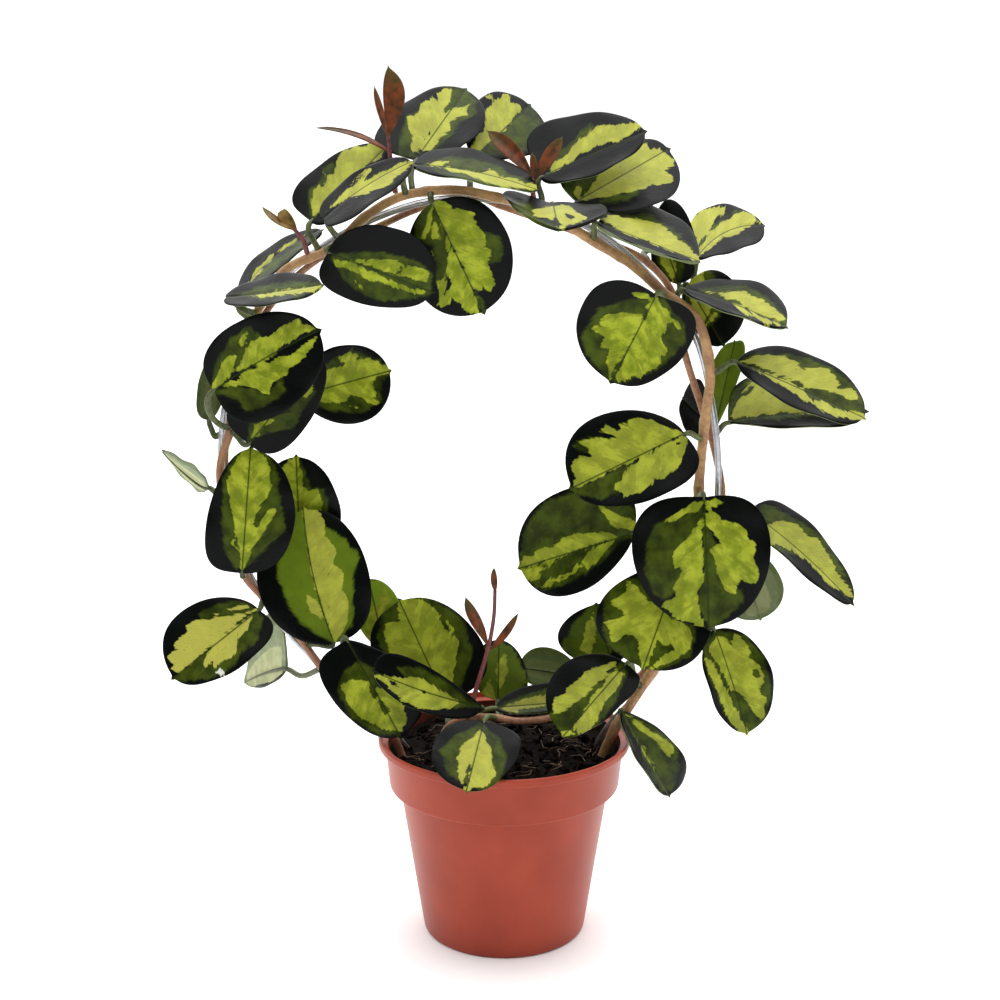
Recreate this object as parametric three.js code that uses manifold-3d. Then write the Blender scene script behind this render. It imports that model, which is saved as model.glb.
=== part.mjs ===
// A variegated wax vine trained round a wire hoop in a plastic nursery pot.
// Millimetres, +Z up. The pot stands on the floor with its axis on the origin; the viewer is on the -Y side.
import * as THREE from 'three';
import Module from 'manifold-3d';

const { Manifold, Mesh: ManifoldMesh } = await Module().then((wasm) => {
  wasm.setup();
  return wasm;
});

// Driving dimensions.
const POT_HEIGHT = 98;
const RIM_RADIUS = 60;
const COLLAR_TOP_RADIUS = 56.7;
const COLLAR_BOTTOM_RADIUS = 54.8;
const COLLAR_BOTTOM_HEIGHT = 74;
const BODY_TOP_RADIUS = 50;
const BASE_RADIUS = 39;
const LIP_HEIGHT = 4;
const WALL = 1.4;
const BASE_THICKNESS = 2.6;
const DRAIN_RADIUS = 4;
const DRAIN_CIRCLE = 25;
const DRAIN_COUNT = 6;
const SOIL_HEIGHT = 89;
const SOIL_CROWN = 2;
const CLEARANCE = 0.3;
const STEM_A_RADIUS = 2.3;
const STEM_B_RADIUS = 1.7;
const WIRE_RADIUS = 1.1;
const PETIOLE_RADIUS = 1.35;
const BLADE_THICKNESS = 1.3;
const SHOOT_RADIUS = 1.1;
const YOUNG_BLADE_THICKNESS = 1;
const SOIL_GAP = 0.45;

// The blades' shape: where the rounded part ends and the drawn-out tip begins, as shares of the length, how
// full the outline is, how fast the tip narrows, and how deep the blade is cupped across and bowed along.
const BODY_END = 0.965;
const TIP_START = 0.9;
const TIP_SLOPE = 0.9;
const ROUNDNESS = 0.47;
const WIDEST_RANGE = [0.25, 0.66];
const CUP = 2;
const BOW = 1.5;
const YOUNG = { cup: 1, bow: 0.5, roundness: 0.6 };

// A petiole leaves its stem and meets its blade over this share of the distance between them.
const PETIOLE_REACH = 0.4;

// Facets.
const POT_SEGMENTS = 36;
const STEM_SIDES = 8;
const STEM_STEPS = 66;
const WIRE_SIDES = 6;
const WIRE_STEPS = 60;
const LEAF_SIDES = 8;
const PETIOLE_STATIONS = [0, 0.5];
const BLADE_STATIONS = [0.03, 0.13, 0.3, 0.5, 0.7, 0.87, 0.96, 1];
const YOUNG_SIDES = 6;
const YOUNG_STATIONS = [0, 0.2, 0.45, 0.7, 0.9, 1];
const DRAIN_SIDES = 12;
const NODE_SHARES = [0, 0.2, 0.4, 0.6, 0.8];
const LEAST_HALF_WIDTH = 0.3;

// The reference view: a pinhole camera that looks down on the pot from the front.
const VIEW = {
  x: -2, distance: 812, height: 407, focal: 1806, pitch: THREE.MathUtils.degToRad(13.5), centre: 500,
};

// The ray through a point of the 1000 x 1000 view, scaled to one millimetre of depth (+Y) per unit.
function ray([px, py]) {
  const across = (px - VIEW.centre) / VIEW.focal;
  const up = (VIEW.centre - py) / VIEW.focal;
  const depth = Math.cos(VIEW.pitch) + up * Math.sin(VIEW.pitch);
  const rise = up * Math.cos(VIEW.pitch) - Math.sin(VIEW.pitch);
  return new THREE.Vector3(across / depth, 1, rise / depth);
}

const EYE = new THREE.Vector3(VIEW.x, -VIEW.distance, VIEW.height);

// The point seen at [px, py] at a given depth behind the hoop's plane.
function fromView(pixel, depth) {
  return EYE.clone().addScaledVector(ray(pixel), depth + VIEW.distance);
}

// The point seen at a pixel on the plane through an anchor that falls back by lean[0] per millimetre
// to the right and by lean[1] per millimetre upwards.
function onPlane(pixel, anchor, lean) {
  const along = ray(pixel);
  const reach = anchor.y - EYE.y + lean[0] * (EYE.x - anchor.x) + lean[1] * (EYE.z - anchor.z);
  return EYE.clone().addScaledVector(along, reach / (1 - lean[0] * along.x - lean[1] * along.z));
}

function material(colour, roughness, metalness = 0) {
  return new THREE.MeshStandardMaterial({ color: colour, roughness, metalness });
}

const FINISH = {
  pot: () => material('#a14e3e', 0.42),
  soil: () => material('#2a1d16', 0.95),
  wire: () => material('#b5b6b8', 0.3, 1),
  stem: () => material('#a9815a', 0.7),
  leaf: () => material('#33451f', 0.28),
  shoot: () => material('#8a4a30', 0.45),
};

// Manifold joins and cuts.
function toSolid(geometry) {
  const merged = geometry.index ? geometry.toNonIndexed() : geometry;
  const corners = merged.attributes.position.array;
  const triVerts = Uint32Array.from({ length: corners.length / 3 }, (_, i) => i);
  const mesh = new ManifoldMesh({ numProp: 3, vertProperties: Float32Array.from(corners), triVerts });
  mesh.merge();
  return new Manifold(mesh);
}

function fromSolid(solid) {
  const { numProp, vertProperties, triVerts } = solid.getMesh();
  const geometry = new THREE.BufferGeometry();
  const corners = new Float32Array((vertProperties.length / numProp) * 3);
  for (let i = 0; i < corners.length / 3; i += 1) {
    for (let k = 0; k < 3; k += 1) corners[3 * i + k] = vertProperties[numProp * i + k];
  }
  geometry.setAttribute('position', new THREE.BufferAttribute(corners, 3));
  geometry.setIndex(Array.from(triVerts));
  geometry.computeVertexNormals();
  return geometry;
}

const cut = (body, tools) => fromSolid(Manifold.difference([toSolid(body), ...tools.map(toSolid)]));
const join = (bodies) => fromSolid(Manifold.union(bodies.map(toSolid)));

// A lathe about the world's Z axis from [radius, height] pairs.
function turned(profile) {
  const points = profile.map(([radius, height]) => new THREE.Vector2(radius, height));
  return new THREE.LatheGeometry(points, POT_SEGMENTS).rotateX(Math.PI / 2);
}

function tube(curve, radius, sides, steps) {
  const corners = Array.from({ length: sides }, (_, i) => {
    const turn = (2 * Math.PI * i) / sides;
    return new THREE.Vector2(radius * Math.cos(turn), radius * Math.sin(turn));
  });
  const section = new THREE.Shape(corners);
  return new THREE.ExtrudeGeometry(section, { extrudePath: curve, steps, bevelEnabled: false });
}

// The pot's inside, from the floor up to the lip, at a distance from the plastic.
function innerWall(gap) {
  const inset = WALL + gap;
  return [
    [BASE_RADIUS - inset + 0.3, BASE_THICKNESS + gap],
    [BODY_TOP_RADIUS - inset - 0.1, COLLAR_BOTTOM_HEIGHT + 0.6 + gap],
    [COLLAR_BOTTOM_RADIUS - inset, COLLAR_BOTTOM_HEIGHT + WALL + gap],
  ];
}

function potGeometry() {
  const lipBottom = POT_HEIGHT - LIP_HEIGHT;
  const outside = [
    [0, 0],
    [BASE_RADIUS - 1, 0],
    [BASE_RADIUS, 1.4],
    [BODY_TOP_RADIUS, COLLAR_BOTTOM_HEIGHT - 0.6],
    [COLLAR_BOTTOM_RADIUS - 0.6, COLLAR_BOTTOM_HEIGHT - 0.4],
    [COLLAR_BOTTOM_RADIUS, COLLAR_BOTTOM_HEIGHT + 0.4],
    [COLLAR_TOP_RADIUS, lipBottom - 0.4],
    [RIM_RADIUS - 0.5, lipBottom],
    [RIM_RADIUS, lipBottom + 0.6],
    [RIM_RADIUS, POT_HEIGHT - 0.6],
    [RIM_RADIUS - 0.6, POT_HEIGHT],
  ];
  const inside = [
    [RIM_RADIUS - WALL, POT_HEIGHT],
    [RIM_RADIUS - WALL - 0.4, lipBottom + 1.4],
    [COLLAR_TOP_RADIUS - WALL, lipBottom + 0.6],
    ...innerWall(0).reverse(),
    [0, BASE_THICKNESS],
  ];
  const drains = Array.from({ length: DRAIN_COUNT }, (_, i) => {
    const turn = (2 * Math.PI * i) / DRAIN_COUNT;
    const hole = new THREE.CylinderGeometry(DRAIN_RADIUS, DRAIN_RADIUS, 3 * BASE_THICKNESS, DRAIN_SIDES);
    hole.rotateX(Math.PI / 2);
    return hole.translate(DRAIN_CIRCLE * Math.cos(turn), DRAIN_CIRCLE * Math.sin(turn), 0);
  });
  return cut(turned([...outside, ...inside]), drains);
}

// The channel that a buried run leaves in the soil: a little wider than the run, and longer at both ends.
function channelGeometry({ points }, radius, sides, steps) {
  const beyond = (end, inner) => end.clone().add(end.clone().sub(inner).setLength(2 * CLEARANCE));
  const curve = new THREE.CatmullRomCurve3([
    beyond(points[0], points[1]), ...points, beyond(points.at(-1), points.at(-2)),
  ]);
  return tube(curve, radius + SOIL_GAP, sides, steps);
}

function soilGeometry(channels) {
  const wallAtTop = THREE.MathUtils.mapLinear(
    SOIL_HEIGHT, COLLAR_BOTTOM_HEIGHT, POT_HEIGHT - LIP_HEIGHT, COLLAR_BOTTOM_RADIUS, COLLAR_TOP_RADIUS);
  const body = turned([
    [0, BASE_THICKNESS + CLEARANCE],
    ...innerWall(SOIL_GAP),
    [wallAtTop - WALL - SOIL_GAP, SOIL_HEIGHT - 1],
    [0.8 * RIM_RADIUS, SOIL_HEIGHT],
    [0.4 * RIM_RADIUS, SOIL_HEIGHT + SOIL_CROWN],
    [0, SOIL_HEIGHT + SOIL_CROWN],
  ]);
  return cut(body, channels);
}

// Runs of the hoop and the two stems twisted round it: [px, py, depth] in the reference view, from the
// soil on the left over the top to the soil on the right.
const WIRE_RUN = [
  [420, 806, 2], [414, 760, 2], [384, 722, 1], [326, 672, 0], [264, 602, 0], [234, 530, 0], [222, 450, 0],
  [236, 360, 0], [272, 290, 0], [323, 246, 0], [386, 214, 0], [450, 199, 0], [530, 206, 0], [600, 233, 0],
  [656, 282, 0], [694, 335, 0], [711, 402, 0], [718, 470, 0], [712, 545, 0], [690, 615, 0], [650, 680, 1],
  [606, 728, 2], [590, 762, 2], [586, 806, 2],
];
const STEM_A_RUN = [
  [418, 788, -8], [404, 762, -7], [394, 737, -7], [374, 718, -7], [350, 700, -6], [322, 668, -5],
  [293, 629, -5], [263, 597, -5], [245, 576, -5], [227, 522, -5], [220, 468, -5], [229, 434, -5],
  [240, 370, -5], [258, 310, -5], [284, 271, -5], [335, 246, -5], [360, 221, -5], [400, 197, -5],
  [455, 190, -5], [500, 198, -5], [546, 208, -5], [583, 235, -5], [631, 264, -5], [664, 293, -5],
  [696, 318, -5], [710, 370, -5], [705, 420, -5], [701, 460, -5], [698, 500, -5], [694, 560, -5],
  [676, 630, -5], [640, 690, -5], [614, 730, -7], [599, 765, -8], [590, 788, -8],
];
const STEM_B_RUN = [
  [446, 796, 0], [440, 752, 0], [450, 725, -4], [486, 717, -10], [520, 721, -10], [560, 716, -7],
  [612, 700, 0], [662, 650, 6], [706, 580, 6], [722, 500, 5], [712, 440, 5], [694, 384, 5], [684, 350, 5], [674, 296, 5],
  [647, 262, 5], [609, 243, 5], [560, 226, 5], [510, 209, 5], [470, 196, 5], [430, 204, 5], [386, 223, 5],
  [340, 246, 5], [299, 274, 5], [266, 312, 5], [240, 360, 5], [228, 420, 5], [226, 480, 5], [236, 545, 5],
  [266, 600, 5], [300, 640, 4],
];

function runThrough(points) {
  return new THREE.CatmullRomCurve3(points.map((place) => fromView(place, place[2])));
}

const WIRE_CURVE = runThrough(WIRE_RUN);
const STEM_A_CURVE = runThrough(STEM_A_RUN);
const STEM_B_CURVE = runThrough(STEM_B_RUN);

// Leaves, from the top left round to the right and the bottom. Every point is read in the reference view:
// base and tip of the midrib, mid where the midrib bows, and the widest point on the left and on the right
// of someone who looks along the leaf from base to tip. depth is how far the base is behind the hoop's
// plane, lean how the blade falls back (see onPlane), heart how far the base lobes reach back as a share of
// the length (one number, or left and right), node where the petiole leaves its stem, and stem which of the
// two that is where both are near. via is a place that a hooked petiole passes, with its depth. bow and
// roundness stand only where a blade differs from BOW and ROUNDNESS.
const LEAVES = [
  { id: '01', node: [412, 195], base: [416, 160], tip: [467, 88], left: [384, 120], right: [482, 128],
    depth: 6, lean: [-0.12, 1.2], heart: 0.12 },
  { id: '02', node: [470, 190], base: [474, 158], tip: [531, 104], left: [478, 100], right: [543, 146],
    depth: 12, lean: [0.38, 1.15] },
  { id: '03', node: [316, 249], base: [311, 221], tip: [388, 146], left: [309, 173], right: [370, 196],
    depth: 0, lean: [-0.2, 1], stem: 'a', heart: 0.06 },
  { id: '04', node: [342, 240], base: [325, 219], tip: [415, 161], mid: [366, 187], left: [358, 171],
    right: [375, 203], depth: -16, lean: [-1.0, 1.5], stem: 'a', via: [330, 228, -16], heart: 0.14 },
  { id: '05', node: [406, 196], base: [414, 166], tip: [541, 192], mid: [472, 172], left: [470, 149],
    right: [470, 181], depth: -16, lean: [0.4, 2] },
  { id: '06', node: [252, 318], base: [241, 296], tip: [325, 229], mid: [274, 258], left: [252, 261],
    right: [283, 266], depth: 2, lean: [-1.3, 1.9], via: [238, 308, -1] },
  { id: '07', node: [254, 314], base: [226, 298], tip: [325, 285], mid: [280, 292], left: [285, 273],
    right: [275, 304], depth: -14, lean: [-0.9, 2.4], heart: 0.1, via: [242, 308, -12] },
  { id: '08', node: [336, 245], base: [328, 252], tip: [436, 293], left: [405, 231], right: [352, 301],
    depth: -16, lean: [-0.1, -0.3], heart: 0.06 },
  { id: '09', node: [432, 190], base: [432, 203], tip: [485, 315], left: [507, 232], right: [415, 286],
    depth: -11, lean: [0, -0.1] },
  { id: '10', node: [541, 206], base: [541, 177], tip: [648, 131], left: [549, 121], right: [606, 170],
    depth: 0, lean: [-0.15, 1.1], heart: 0.04 },
  { id: '11', node: [575, 232], base: [577, 202], tip: [671, 148], left: [588, 152], right: [668, 199],
    depth: 4, lean: [0, 1.3], stem: 'b', heart: 0.12 },
  { id: '12', node: [548, 210], base: [553, 204], tip: [559, 231], mid: [556, 219], left: [608, 210],
    right: [503, 195], depth: -10, lean: [0.6, 3.2] },
  { id: '13', node: [592, 238], base: [598, 223], tip: [701, 263], left: [662, 209], right: [640, 246],
    depth: -12, lean: [0.6, 1.9], stem: 'a' },
  { id: '14', node: [682, 338], base: [697, 258], tip: [766, 226], mid: [727, 232], left: [700, 211],
    right: [745, 248], depth: 26, lean: [0.2, 1.8], via: [689, 306, 22], stem: 'b' },
  { id: '15', node: [647, 262], base: [650, 250], tip: [697, 238], left: [669, 199], right: [676, 262],
    depth: 22, lean: [-0.1, 0.5], stem: 'b' },
  { id: '16', node: [674, 297], base: [679, 284], tip: [662, 238], left: [652, 262], right: [693, 262],
    depth: 11, lean: [-0.1, 0.3], stem: 'b' },
  { id: '17', node: [687, 330], base: [688, 285], tip: [724, 347], left: [742, 294], right: [692, 326],
    depth: 15.5, lean: [0, 0.3], heart: [0.24, 0], stem: 'b' },
  { id: '18', node: [674, 300], base: [684, 289], tip: [789, 329], mid: [737, 306], left: [764, 285],
    right: [730, 313], depth: -3, lean: [0.6, 1.9] },
  { id: '19', node: [664, 294], base: [656, 295], tip: [610, 384], left: [688, 350], right: [580, 308],
    depth: -16, lean: [0, -0.5], heart: 0.1 },
  { id: '20', node: [708, 452], base: [714, 430], tip: [735, 339], left: [706, 382], right: [744, 360],
    depth: 22, lean: [0.5, 0.2], stem: 'b', via: [712, 440, 16] },
  { id: '21', node: [710, 374], base: [737, 362], tip: [867, 420], mid: [799, 389], left: [818, 357],
    right: [803, 411], depth: -4, lean: [0.58, 1.3] },
  { id: '22', node: [712, 438], base: [728, 422], tip: [870, 412], mid: [795, 414], left: [767, 374],
    right: [825, 427], depth: 7, lean: [-0.1, 1.5], stem: 'b' },
  { id: '23', node: [706, 420], base: [712, 425], tip: [682, 397], left: [690, 436], right: [700, 380],
    depth: 14, lean: [-0.8, 0], stem: 'b' },
  { id: '24', node: [703, 438], base: [684, 434], tip: [568, 490], left: [662, 496], right: [589, 420],
    depth: -14, lean: [0.06, 0.5], heart: 0.1 },
  { id: '25', node: [694, 545], base: [634, 533], tip: [517, 569], left: [572, 595], right: [557, 492],
    depth: 8, lean: [-0.25, 0.15], heart: [0, 0.3] },
  { id: '26', node: [698, 494], base: [704, 497], tip: [709, 631], left: [771, 550], right: [632, 553],
    depth: -16, lean: [0, 0.1], heart: 0.05 },
  { id: '27', node: [719, 500], base: [748, 512], tip: [855, 607], mid: [800, 552], left: [800, 514],
    right: [795, 567], depth: 4, lean: [1, 1.2] },
  { id: '28', node: [716, 540], base: [738, 545], tip: [761, 621], left: [783, 583], right: [722, 600],
    depth: 14, lean: [0, -0.4] },
  { id: '29', node: [690, 575], base: [680, 565], tip: [642, 671], left: [708, 640], right: [597, 610],
    depth: -8, lean: [0, 0.3] },
  { id: '30', node: [690, 600], base: [714, 630], tip: [747, 736], mid: [733, 686], left: [772, 672],
    right: [709, 690], depth: -6, lean: [0.7, 0.3] },
  { id: '31', node: [640, 685], base: [626, 664], tip: [562, 738], left: [630, 697], right: [555, 672],
    depth: -14, lean: [-0.05, 0.8] },
  { id: '32', node: [622, 716], base: [622, 711], tip: [670, 798], left: [683, 755], right: [637, 758],
    depth: -14, lean: [1.3, 0.5] },
  { id: '33', node: [632, 684], base: [612, 664], tip: [596, 602], left: [558, 640], right: [626, 632],
    depth: 14, lean: [-0.3, 0.4], stem: 'b' },
  { id: '34', node: [600, 706], base: [580, 676], tip: [517, 667], left: [548, 690], right: [546, 647],
    depth: 26, lean: [0.2, 0.6] },
  { id: '35', node: [500, 718], base: [498, 700], tip: [499, 638], left: [472, 668], right: [528, 682],
    depth: 16, lean: [0, 0.6] },
  { id: '36', node: [476, 718], base: [496, 708], tip: [586, 701], left: [545, 683], right: [536, 713],
    depth: -4, lean: [0.1, 1.6] },
  { id: '37', node: [447, 724], base: [447, 703], tip: [398, 598], left: [373, 655], right: [482, 642],
    depth: 8, lean: [0, 0.3] },
  { id: '38', node: [470, 719], base: [482, 707], tip: [371, 670], left: [425, 713], right: [405, 656],
    depth: -15, lean: [0.5, 0.6], mid: [425, 692] },
  { id: '39', node: [330, 690], base: [347, 640], tip: [402, 739], left: [420, 686], right: [326, 690],
    depth: -16, lean: [0.1, 0.2] },
  { id: '40', node: [494, 719], base: [484, 722], tip: [466, 793], left: [520, 750], right: [432, 748],
    depth: -30, lean: [0, 1.8], bow: 3 },
  { id: '41', node: [372, 726], base: [385, 650], tip: [368, 577], left: [354, 612], right: [402, 610],
    depth: 20, lean: [0, 0.3] },
  { id: '42', node: [304, 648], base: [334, 643], tip: [303, 506], mid: [313, 575], left: [258, 588],
    right: [368, 568], depth: -8, lean: [0.1, 0.3] },
  { id: '43', node: [240, 576], base: [242, 573], tip: [251, 445], left: [205, 532], right: [295, 518],
    depth: -14, lean: [0, 0.1] },
  { id: '44', node: [264, 597], base: [300, 545], tip: [296, 454], left: [262, 500], right: [341, 514],
    depth: 16, lean: [0, 0], stem: 'b', via: [282, 572, 15] },
  { id: '45', node: [232, 428], base: [214, 390], tip: [322, 329], mid: [267, 357], left: [237, 322],
    right: [285, 411], depth: -20, lean: [0, 0.05], heart: 0.05 },
  { id: '46', node: [232, 430], base: [249, 444], tip: [322, 352], left: [237, 395], right: [303, 431],
    depth: -12, lean: [0.1, -0.1] },
  { id: '47', node: [238, 380], base: [300, 395], tip: [392, 370], left: [338, 346], right: [363, 422],
    depth: 2, lean: [0.5, 0.1] },
  { id: '48', node: [228, 436], base: [208, 420], tip: [216, 352], left: [197, 392], right: [226, 385],
    depth: 5, lean: [1, 0], via: [216, 438, 5], stem: 'b' },
  { id: '49', node: [222, 500], base: [208, 487], tip: [161, 449], mid: [191, 477], left: [197, 490],
    right: [194, 466], depth: 10, lean: [-1.0, -1.6], stem: 'b' },
  { id: '50', node: [262, 600], base: [259, 610], tip: [171, 680], left: [245, 664], right: [178, 614],
    depth: -10, lean: [-0.18, 0.48], heart: [0.1, 0.05] },
  { id: '51', node: [320, 669], base: [287, 668], tip: [244, 683], mid: [266, 673], left: [266, 683],
    right: [271, 611], depth: 17, lean: [-1.4, -0.2], heart: [0, 0.1], via: [301, 676, 8], roundness: 0.75 },
];

// A point on a midrib that runs through base, mid and tip.
function midribPixel({ base, tip, mid }, t) {
  const middle = mid ?? [(base[0] + tip[0]) / 2, (base[1] + tip[1]) / 2];
  const shares = [(1 - t) * (1 - 2 * t), 4 * t * (1 - t), t * (2 * t - 1)];
  return [0, 1].map((k) => base[k] * shares[0] + middle[k] * shares[1] + tip[k] * shares[2]);
}

// Half-width of a blade along its midrib as a share of the widest: a rounded base and a short acute tip.
function halfWidth(t, widest, roundness = ROUNDNESS) {
  const body = THREE.MathUtils.clamp(t / BODY_END, 0, 1) ** (Math.log(0.5) / Math.log(widest));
  const tip = t > TIP_START ? TIP_SLOPE * (1 - t) : 0;
  return Math.max((4 * body * (1 - body)) ** roundness, tip);
}

// How far along the leaf an edge point lies.
function stationOf({ base, tip }, [px, py]) {
  const along = [tip[0] - base[0], tip[1] - base[1]];
  const share = ((px - base[0]) * along[0] + (py - base[1]) * along[1]) / (along[0] ** 2 + along[1] ** 2);
  return THREE.MathUtils.clamp(share, ...WIDEST_RANGE);
}

// The blade as a surface: t runs from base to tip, s from the left edge (-1) over the midrib to the right
// edge (1).
function bladeSurface(leaf) {
  const anchor = fromView(leaf.base, leaf.depth);
  const side = (edge) => {
    const station = stationOf(leaf, edge);
    const middle = midribPixel(leaf, station);
    return { station, offset: [edge[0] - middle[0], edge[1] - middle[1]] };
  };
  const left = side(leaf.left);
  const right = side(leaf.right);
  const hearts = Array.isArray(leaf.heart) ? leaf.heart : [leaf.heart ?? 0, leaf.heart ?? 0];
  return (s, t) => {
    const middle = midribPixel(leaf, t);
    const width = halfWidth(t, s < 0 ? left.station : right.station, leaf.roundness);
    const pixel = [0, 1].map((k) => {
      const straight = 0.5 * (right.offset[k] - left.offset[k]) * s;
      const bent = 0.5 * (right.offset[k] + left.offset[k]) * s * s;
      const lobe = hearts[s < 0 ? 0 : 1] * (leaf.tip[k] - leaf.base[k]) * Math.abs(s) * (1 - t) ** 2;
      return middle[k] + width * (straight + bent - lobe);
    });
    const flat = onPlane(pixel, anchor, leaf.lean);
    const cup = (leaf.cup ?? CUP) * (width * s) ** 2;
    const bow = (leaf.bow ?? BOW) * 4 * t * (1 - t);
    return flat.addScaledVector(ray(pixel), -cup - bow);
  };
}

// Places on the axes of the two faceted stems where a petiole can leave, with the stem's radius there.
function nodesOn(stem, curve, radius) {
  const axis = curve.getSpacedPoints(STEM_STEPS);
  return axis.slice(1).flatMap((next, i) => {
    const tangent = next.clone().sub(axis[i]).normalize();
    return NODE_SHARES.map((share) => ({
      stem, radius, tangent, point: axis[i].clone().lerp(next, share),
    }));
  });
}

const STEM_NODES = [
  ...nodesOn('a', STEM_A_CURVE, STEM_A_RADIUS),
  ...nodesOn('b', STEM_B_CURVE, STEM_B_RADIUS),
];

function pixelOf(point) {
  const away = point.clone().sub(EYE);
  const forward = away.y * Math.cos(VIEW.pitch) - away.z * Math.sin(VIEW.pitch);
  const up = away.y * Math.sin(VIEW.pitch) + away.z * Math.cos(VIEW.pitch);
  return [VIEW.centre + (VIEW.focal * away.x) / forward, VIEW.centre - (VIEW.focal * up) / forward];
}

function nearestNode(pixel, stem) {
  const gap = ({ point }) => Math.hypot(pixelOf(point)[0] - pixel[0], pixelOf(point)[1] - pixel[1]);
  return STEM_NODES.filter((node) => !stem || node.stem === stem)
    .reduce((best, node) => (gap(node) < gap(best) ? node : best));
}

// The petiole's centre line, from just off the stem's bark to the blade.
function petioleCurve(leaf, blade) {
  const node = nearestNode(leaf.node, leaf.stem);
  const end = blade(0, 0);
  const via = leaf.via && fromView(leaf.via, leaf.via[2]);
  const outward = (via ?? end).clone().sub(node.point);
  outward.addScaledVector(node.tangent, -outward.dot(node.tangent)).normalize();
  const start = node.point.clone().addScaledVector(outward, node.radius + CLEARANCE);
  if (via) {
    const root = start.clone().addScaledVector(outward, 2 * PETIOLE_RADIUS);
    return new THREE.CatmullRomCurve3([start, root, via, end]);
  }
  const reach = PETIOLE_REACH * start.distanceTo(end);
  const heading = blade(0, 0.2).sub(end).normalize();
  return new THREE.CubicBezierCurve3(
    start, start.clone().addScaledVector(outward, reach), end.clone().addScaledVector(heading, -reach), end);
}

// One leaf as a closed skin: a cylinder whose rings become the round petiole and then the thin blade.
function leafGeometry(leaf) {
  const blade = bladeSurface(leaf);
  const petiole = petioleCurve(leaf, blade);
  const across = blade(1, 0.12).sub(blade(-1, 0.12)).normalize();
  const rings = PETIOLE_STATIONS.map((t) => {
    const centre = petiole.getPoint(t);
    const along = petiole.getTangent(t);
    const side = across.clone().addScaledVector(along, -across.dot(along)).normalize();
    return { point: (s) => centre.clone().addScaledVector(side, s * PETIOLE_RADIUS),
      normal: side.clone().cross(along), half: PETIOLE_RADIUS };
  });
  for (const t of BLADE_STATIONS) {
    const centre = blade(0, t);
    const along = blade(0, Math.min(t + 0.02, 1)).sub(blade(0, t - 0.02)).normalize();
    const side = blade(0.5, Math.min(t, 0.9)).sub(blade(-0.5, Math.min(t, 0.9)));
    side.addScaledVector(along, -side.dot(along)).normalize();
    const least = t < 0.5 ? PETIOLE_RADIUS : LEAST_HALF_WIDTH;
    const point = (s) => {
      const edge = blade(s, t);
      const reach = edge.clone().sub(centre).length();
      return reach < least * Math.abs(s) ? centre.clone().addScaledVector(side, s * least) : edge;
    };
    const half = (t < 0.1 ? 0.9 : 0.5) * BLADE_THICKNESS * (t === 1 ? 0.5 : 1);
    rings.push({ point, normal: side.cross(along).normalize(), half });
  }
  const geometry = new THREE.CylinderGeometry(1, 1, 1, LEAF_SIDES, rings.length - 1);
  const corners = geometry.attributes.position;
  for (let i = 0; i < corners.count; i += 1) {
    const ring = rings[Math.round((corners.getY(i) + 0.5) * (rings.length - 1))];
    const place = ring.point(corners.getX(i)).addScaledVector(ring.normal, corners.getZ(i) * ring.half);
    corners.setXYZ(i, place.x, place.y, place.z);
  }
  geometry.computeVertexNormals();
  return geometry;
}

// Young shoots: a stalk with small folded leaves, the stalk's run and the leaves' points as above.
const SHOOTS = [
  { id: 'top', node: [398, 197], stalk: [[394, 176, -1], [390, 155, -1], [388, 136, -1]], leaves: [
    { base: [389, 139], tip: [388, 65], left: [381, 92], right: [405, 94], depth: -1, lean: [0.3, 0.1] },
    { base: [388, 141], tip: [374, 85], left: [375, 106], right: [385, 112], depth: -1, lean: [-0.1, -0.1] },
    { base: [390, 153], tip: [312, 128], mid: [358, 134], left: [352, 137], right: [352, 130],
      depth: -1, lean: [0.2, 1] },
  ] },
  { id: 'left', node: [307, 255], stalk: [[303, 240, -8], [294, 229, -9]], leaves: [
    { base: [298, 234], tip: [284, 208], left: [277, 218], right: [293, 216], depth: -8, lean: [0.3, 0.3] },
    { base: [296, 231], tip: [261, 206], mid: [278, 219], left: [272, 222], right: [276, 215],
      depth: -9, lean: [0.5, 0.8] },
  ] },
  { id: 'right', node: [533, 203], stalk: [[533, 192, -3], [535, 180, -6]], leaves: [
    { base: [536, 180], tip: [563, 136], left: [543, 152], right: [559, 156], depth: -6, lean: [0, 0.2] },
    { base: [535, 182], tip: [532, 152], left: [529, 164], right: [538, 164], depth: -6, lean: [0, 0] },
    { base: [535, 181], tip: [486, 130], mid: [515, 153], left: [501, 153], right: [513, 139],
      depth: -6, lean: [-0.6, 0.45] },
  ] },
  { id: 'bottom', node: [472, 718], stalk: [[472, 704, -6], [482, 670, -3], [489, 645, -2], [494, 615, -2],
    [495, 590, -2]], leaves: [
    { base: [495, 592], tip: [494, 567], left: [490, 579], right: [498, 580], depth: -2, lean: [0, 0] },
    { base: [488, 648], tip: [465, 596], left: [466, 616], right: [482, 618], depth: -2, lean: [0.1, 0] },
    { base: [489, 650], tip: [519, 612], mid: [504, 634], left: [504, 627], right: [509, 636],
      depth: -2, lean: [0.1, 0.3] },
  ] },
];

function shootGeometry({ node, stalk, leaves }) {
  const root = nearestNode(node);
  const first = fromView(stalk[0], stalk[0][2]);
  const outward = first.clone().sub(root.point);
  outward.addScaledVector(root.tangent, -outward.dot(root.tangent)).normalize();
  const start = root.point.clone().addScaledVector(outward, root.radius + CLEARANCE);
  const path = new THREE.CatmullRomCurve3([start, ...stalk.map((place) => fromView(place, place[2]))]);
  const stem = tube(path, SHOOT_RADIUS, WIRE_SIDES, 4 * stalk.length);
  return join([stem, ...leaves.map((leaf) => youngLeafGeometry({ ...YOUNG, ...leaf }))]);
}

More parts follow.
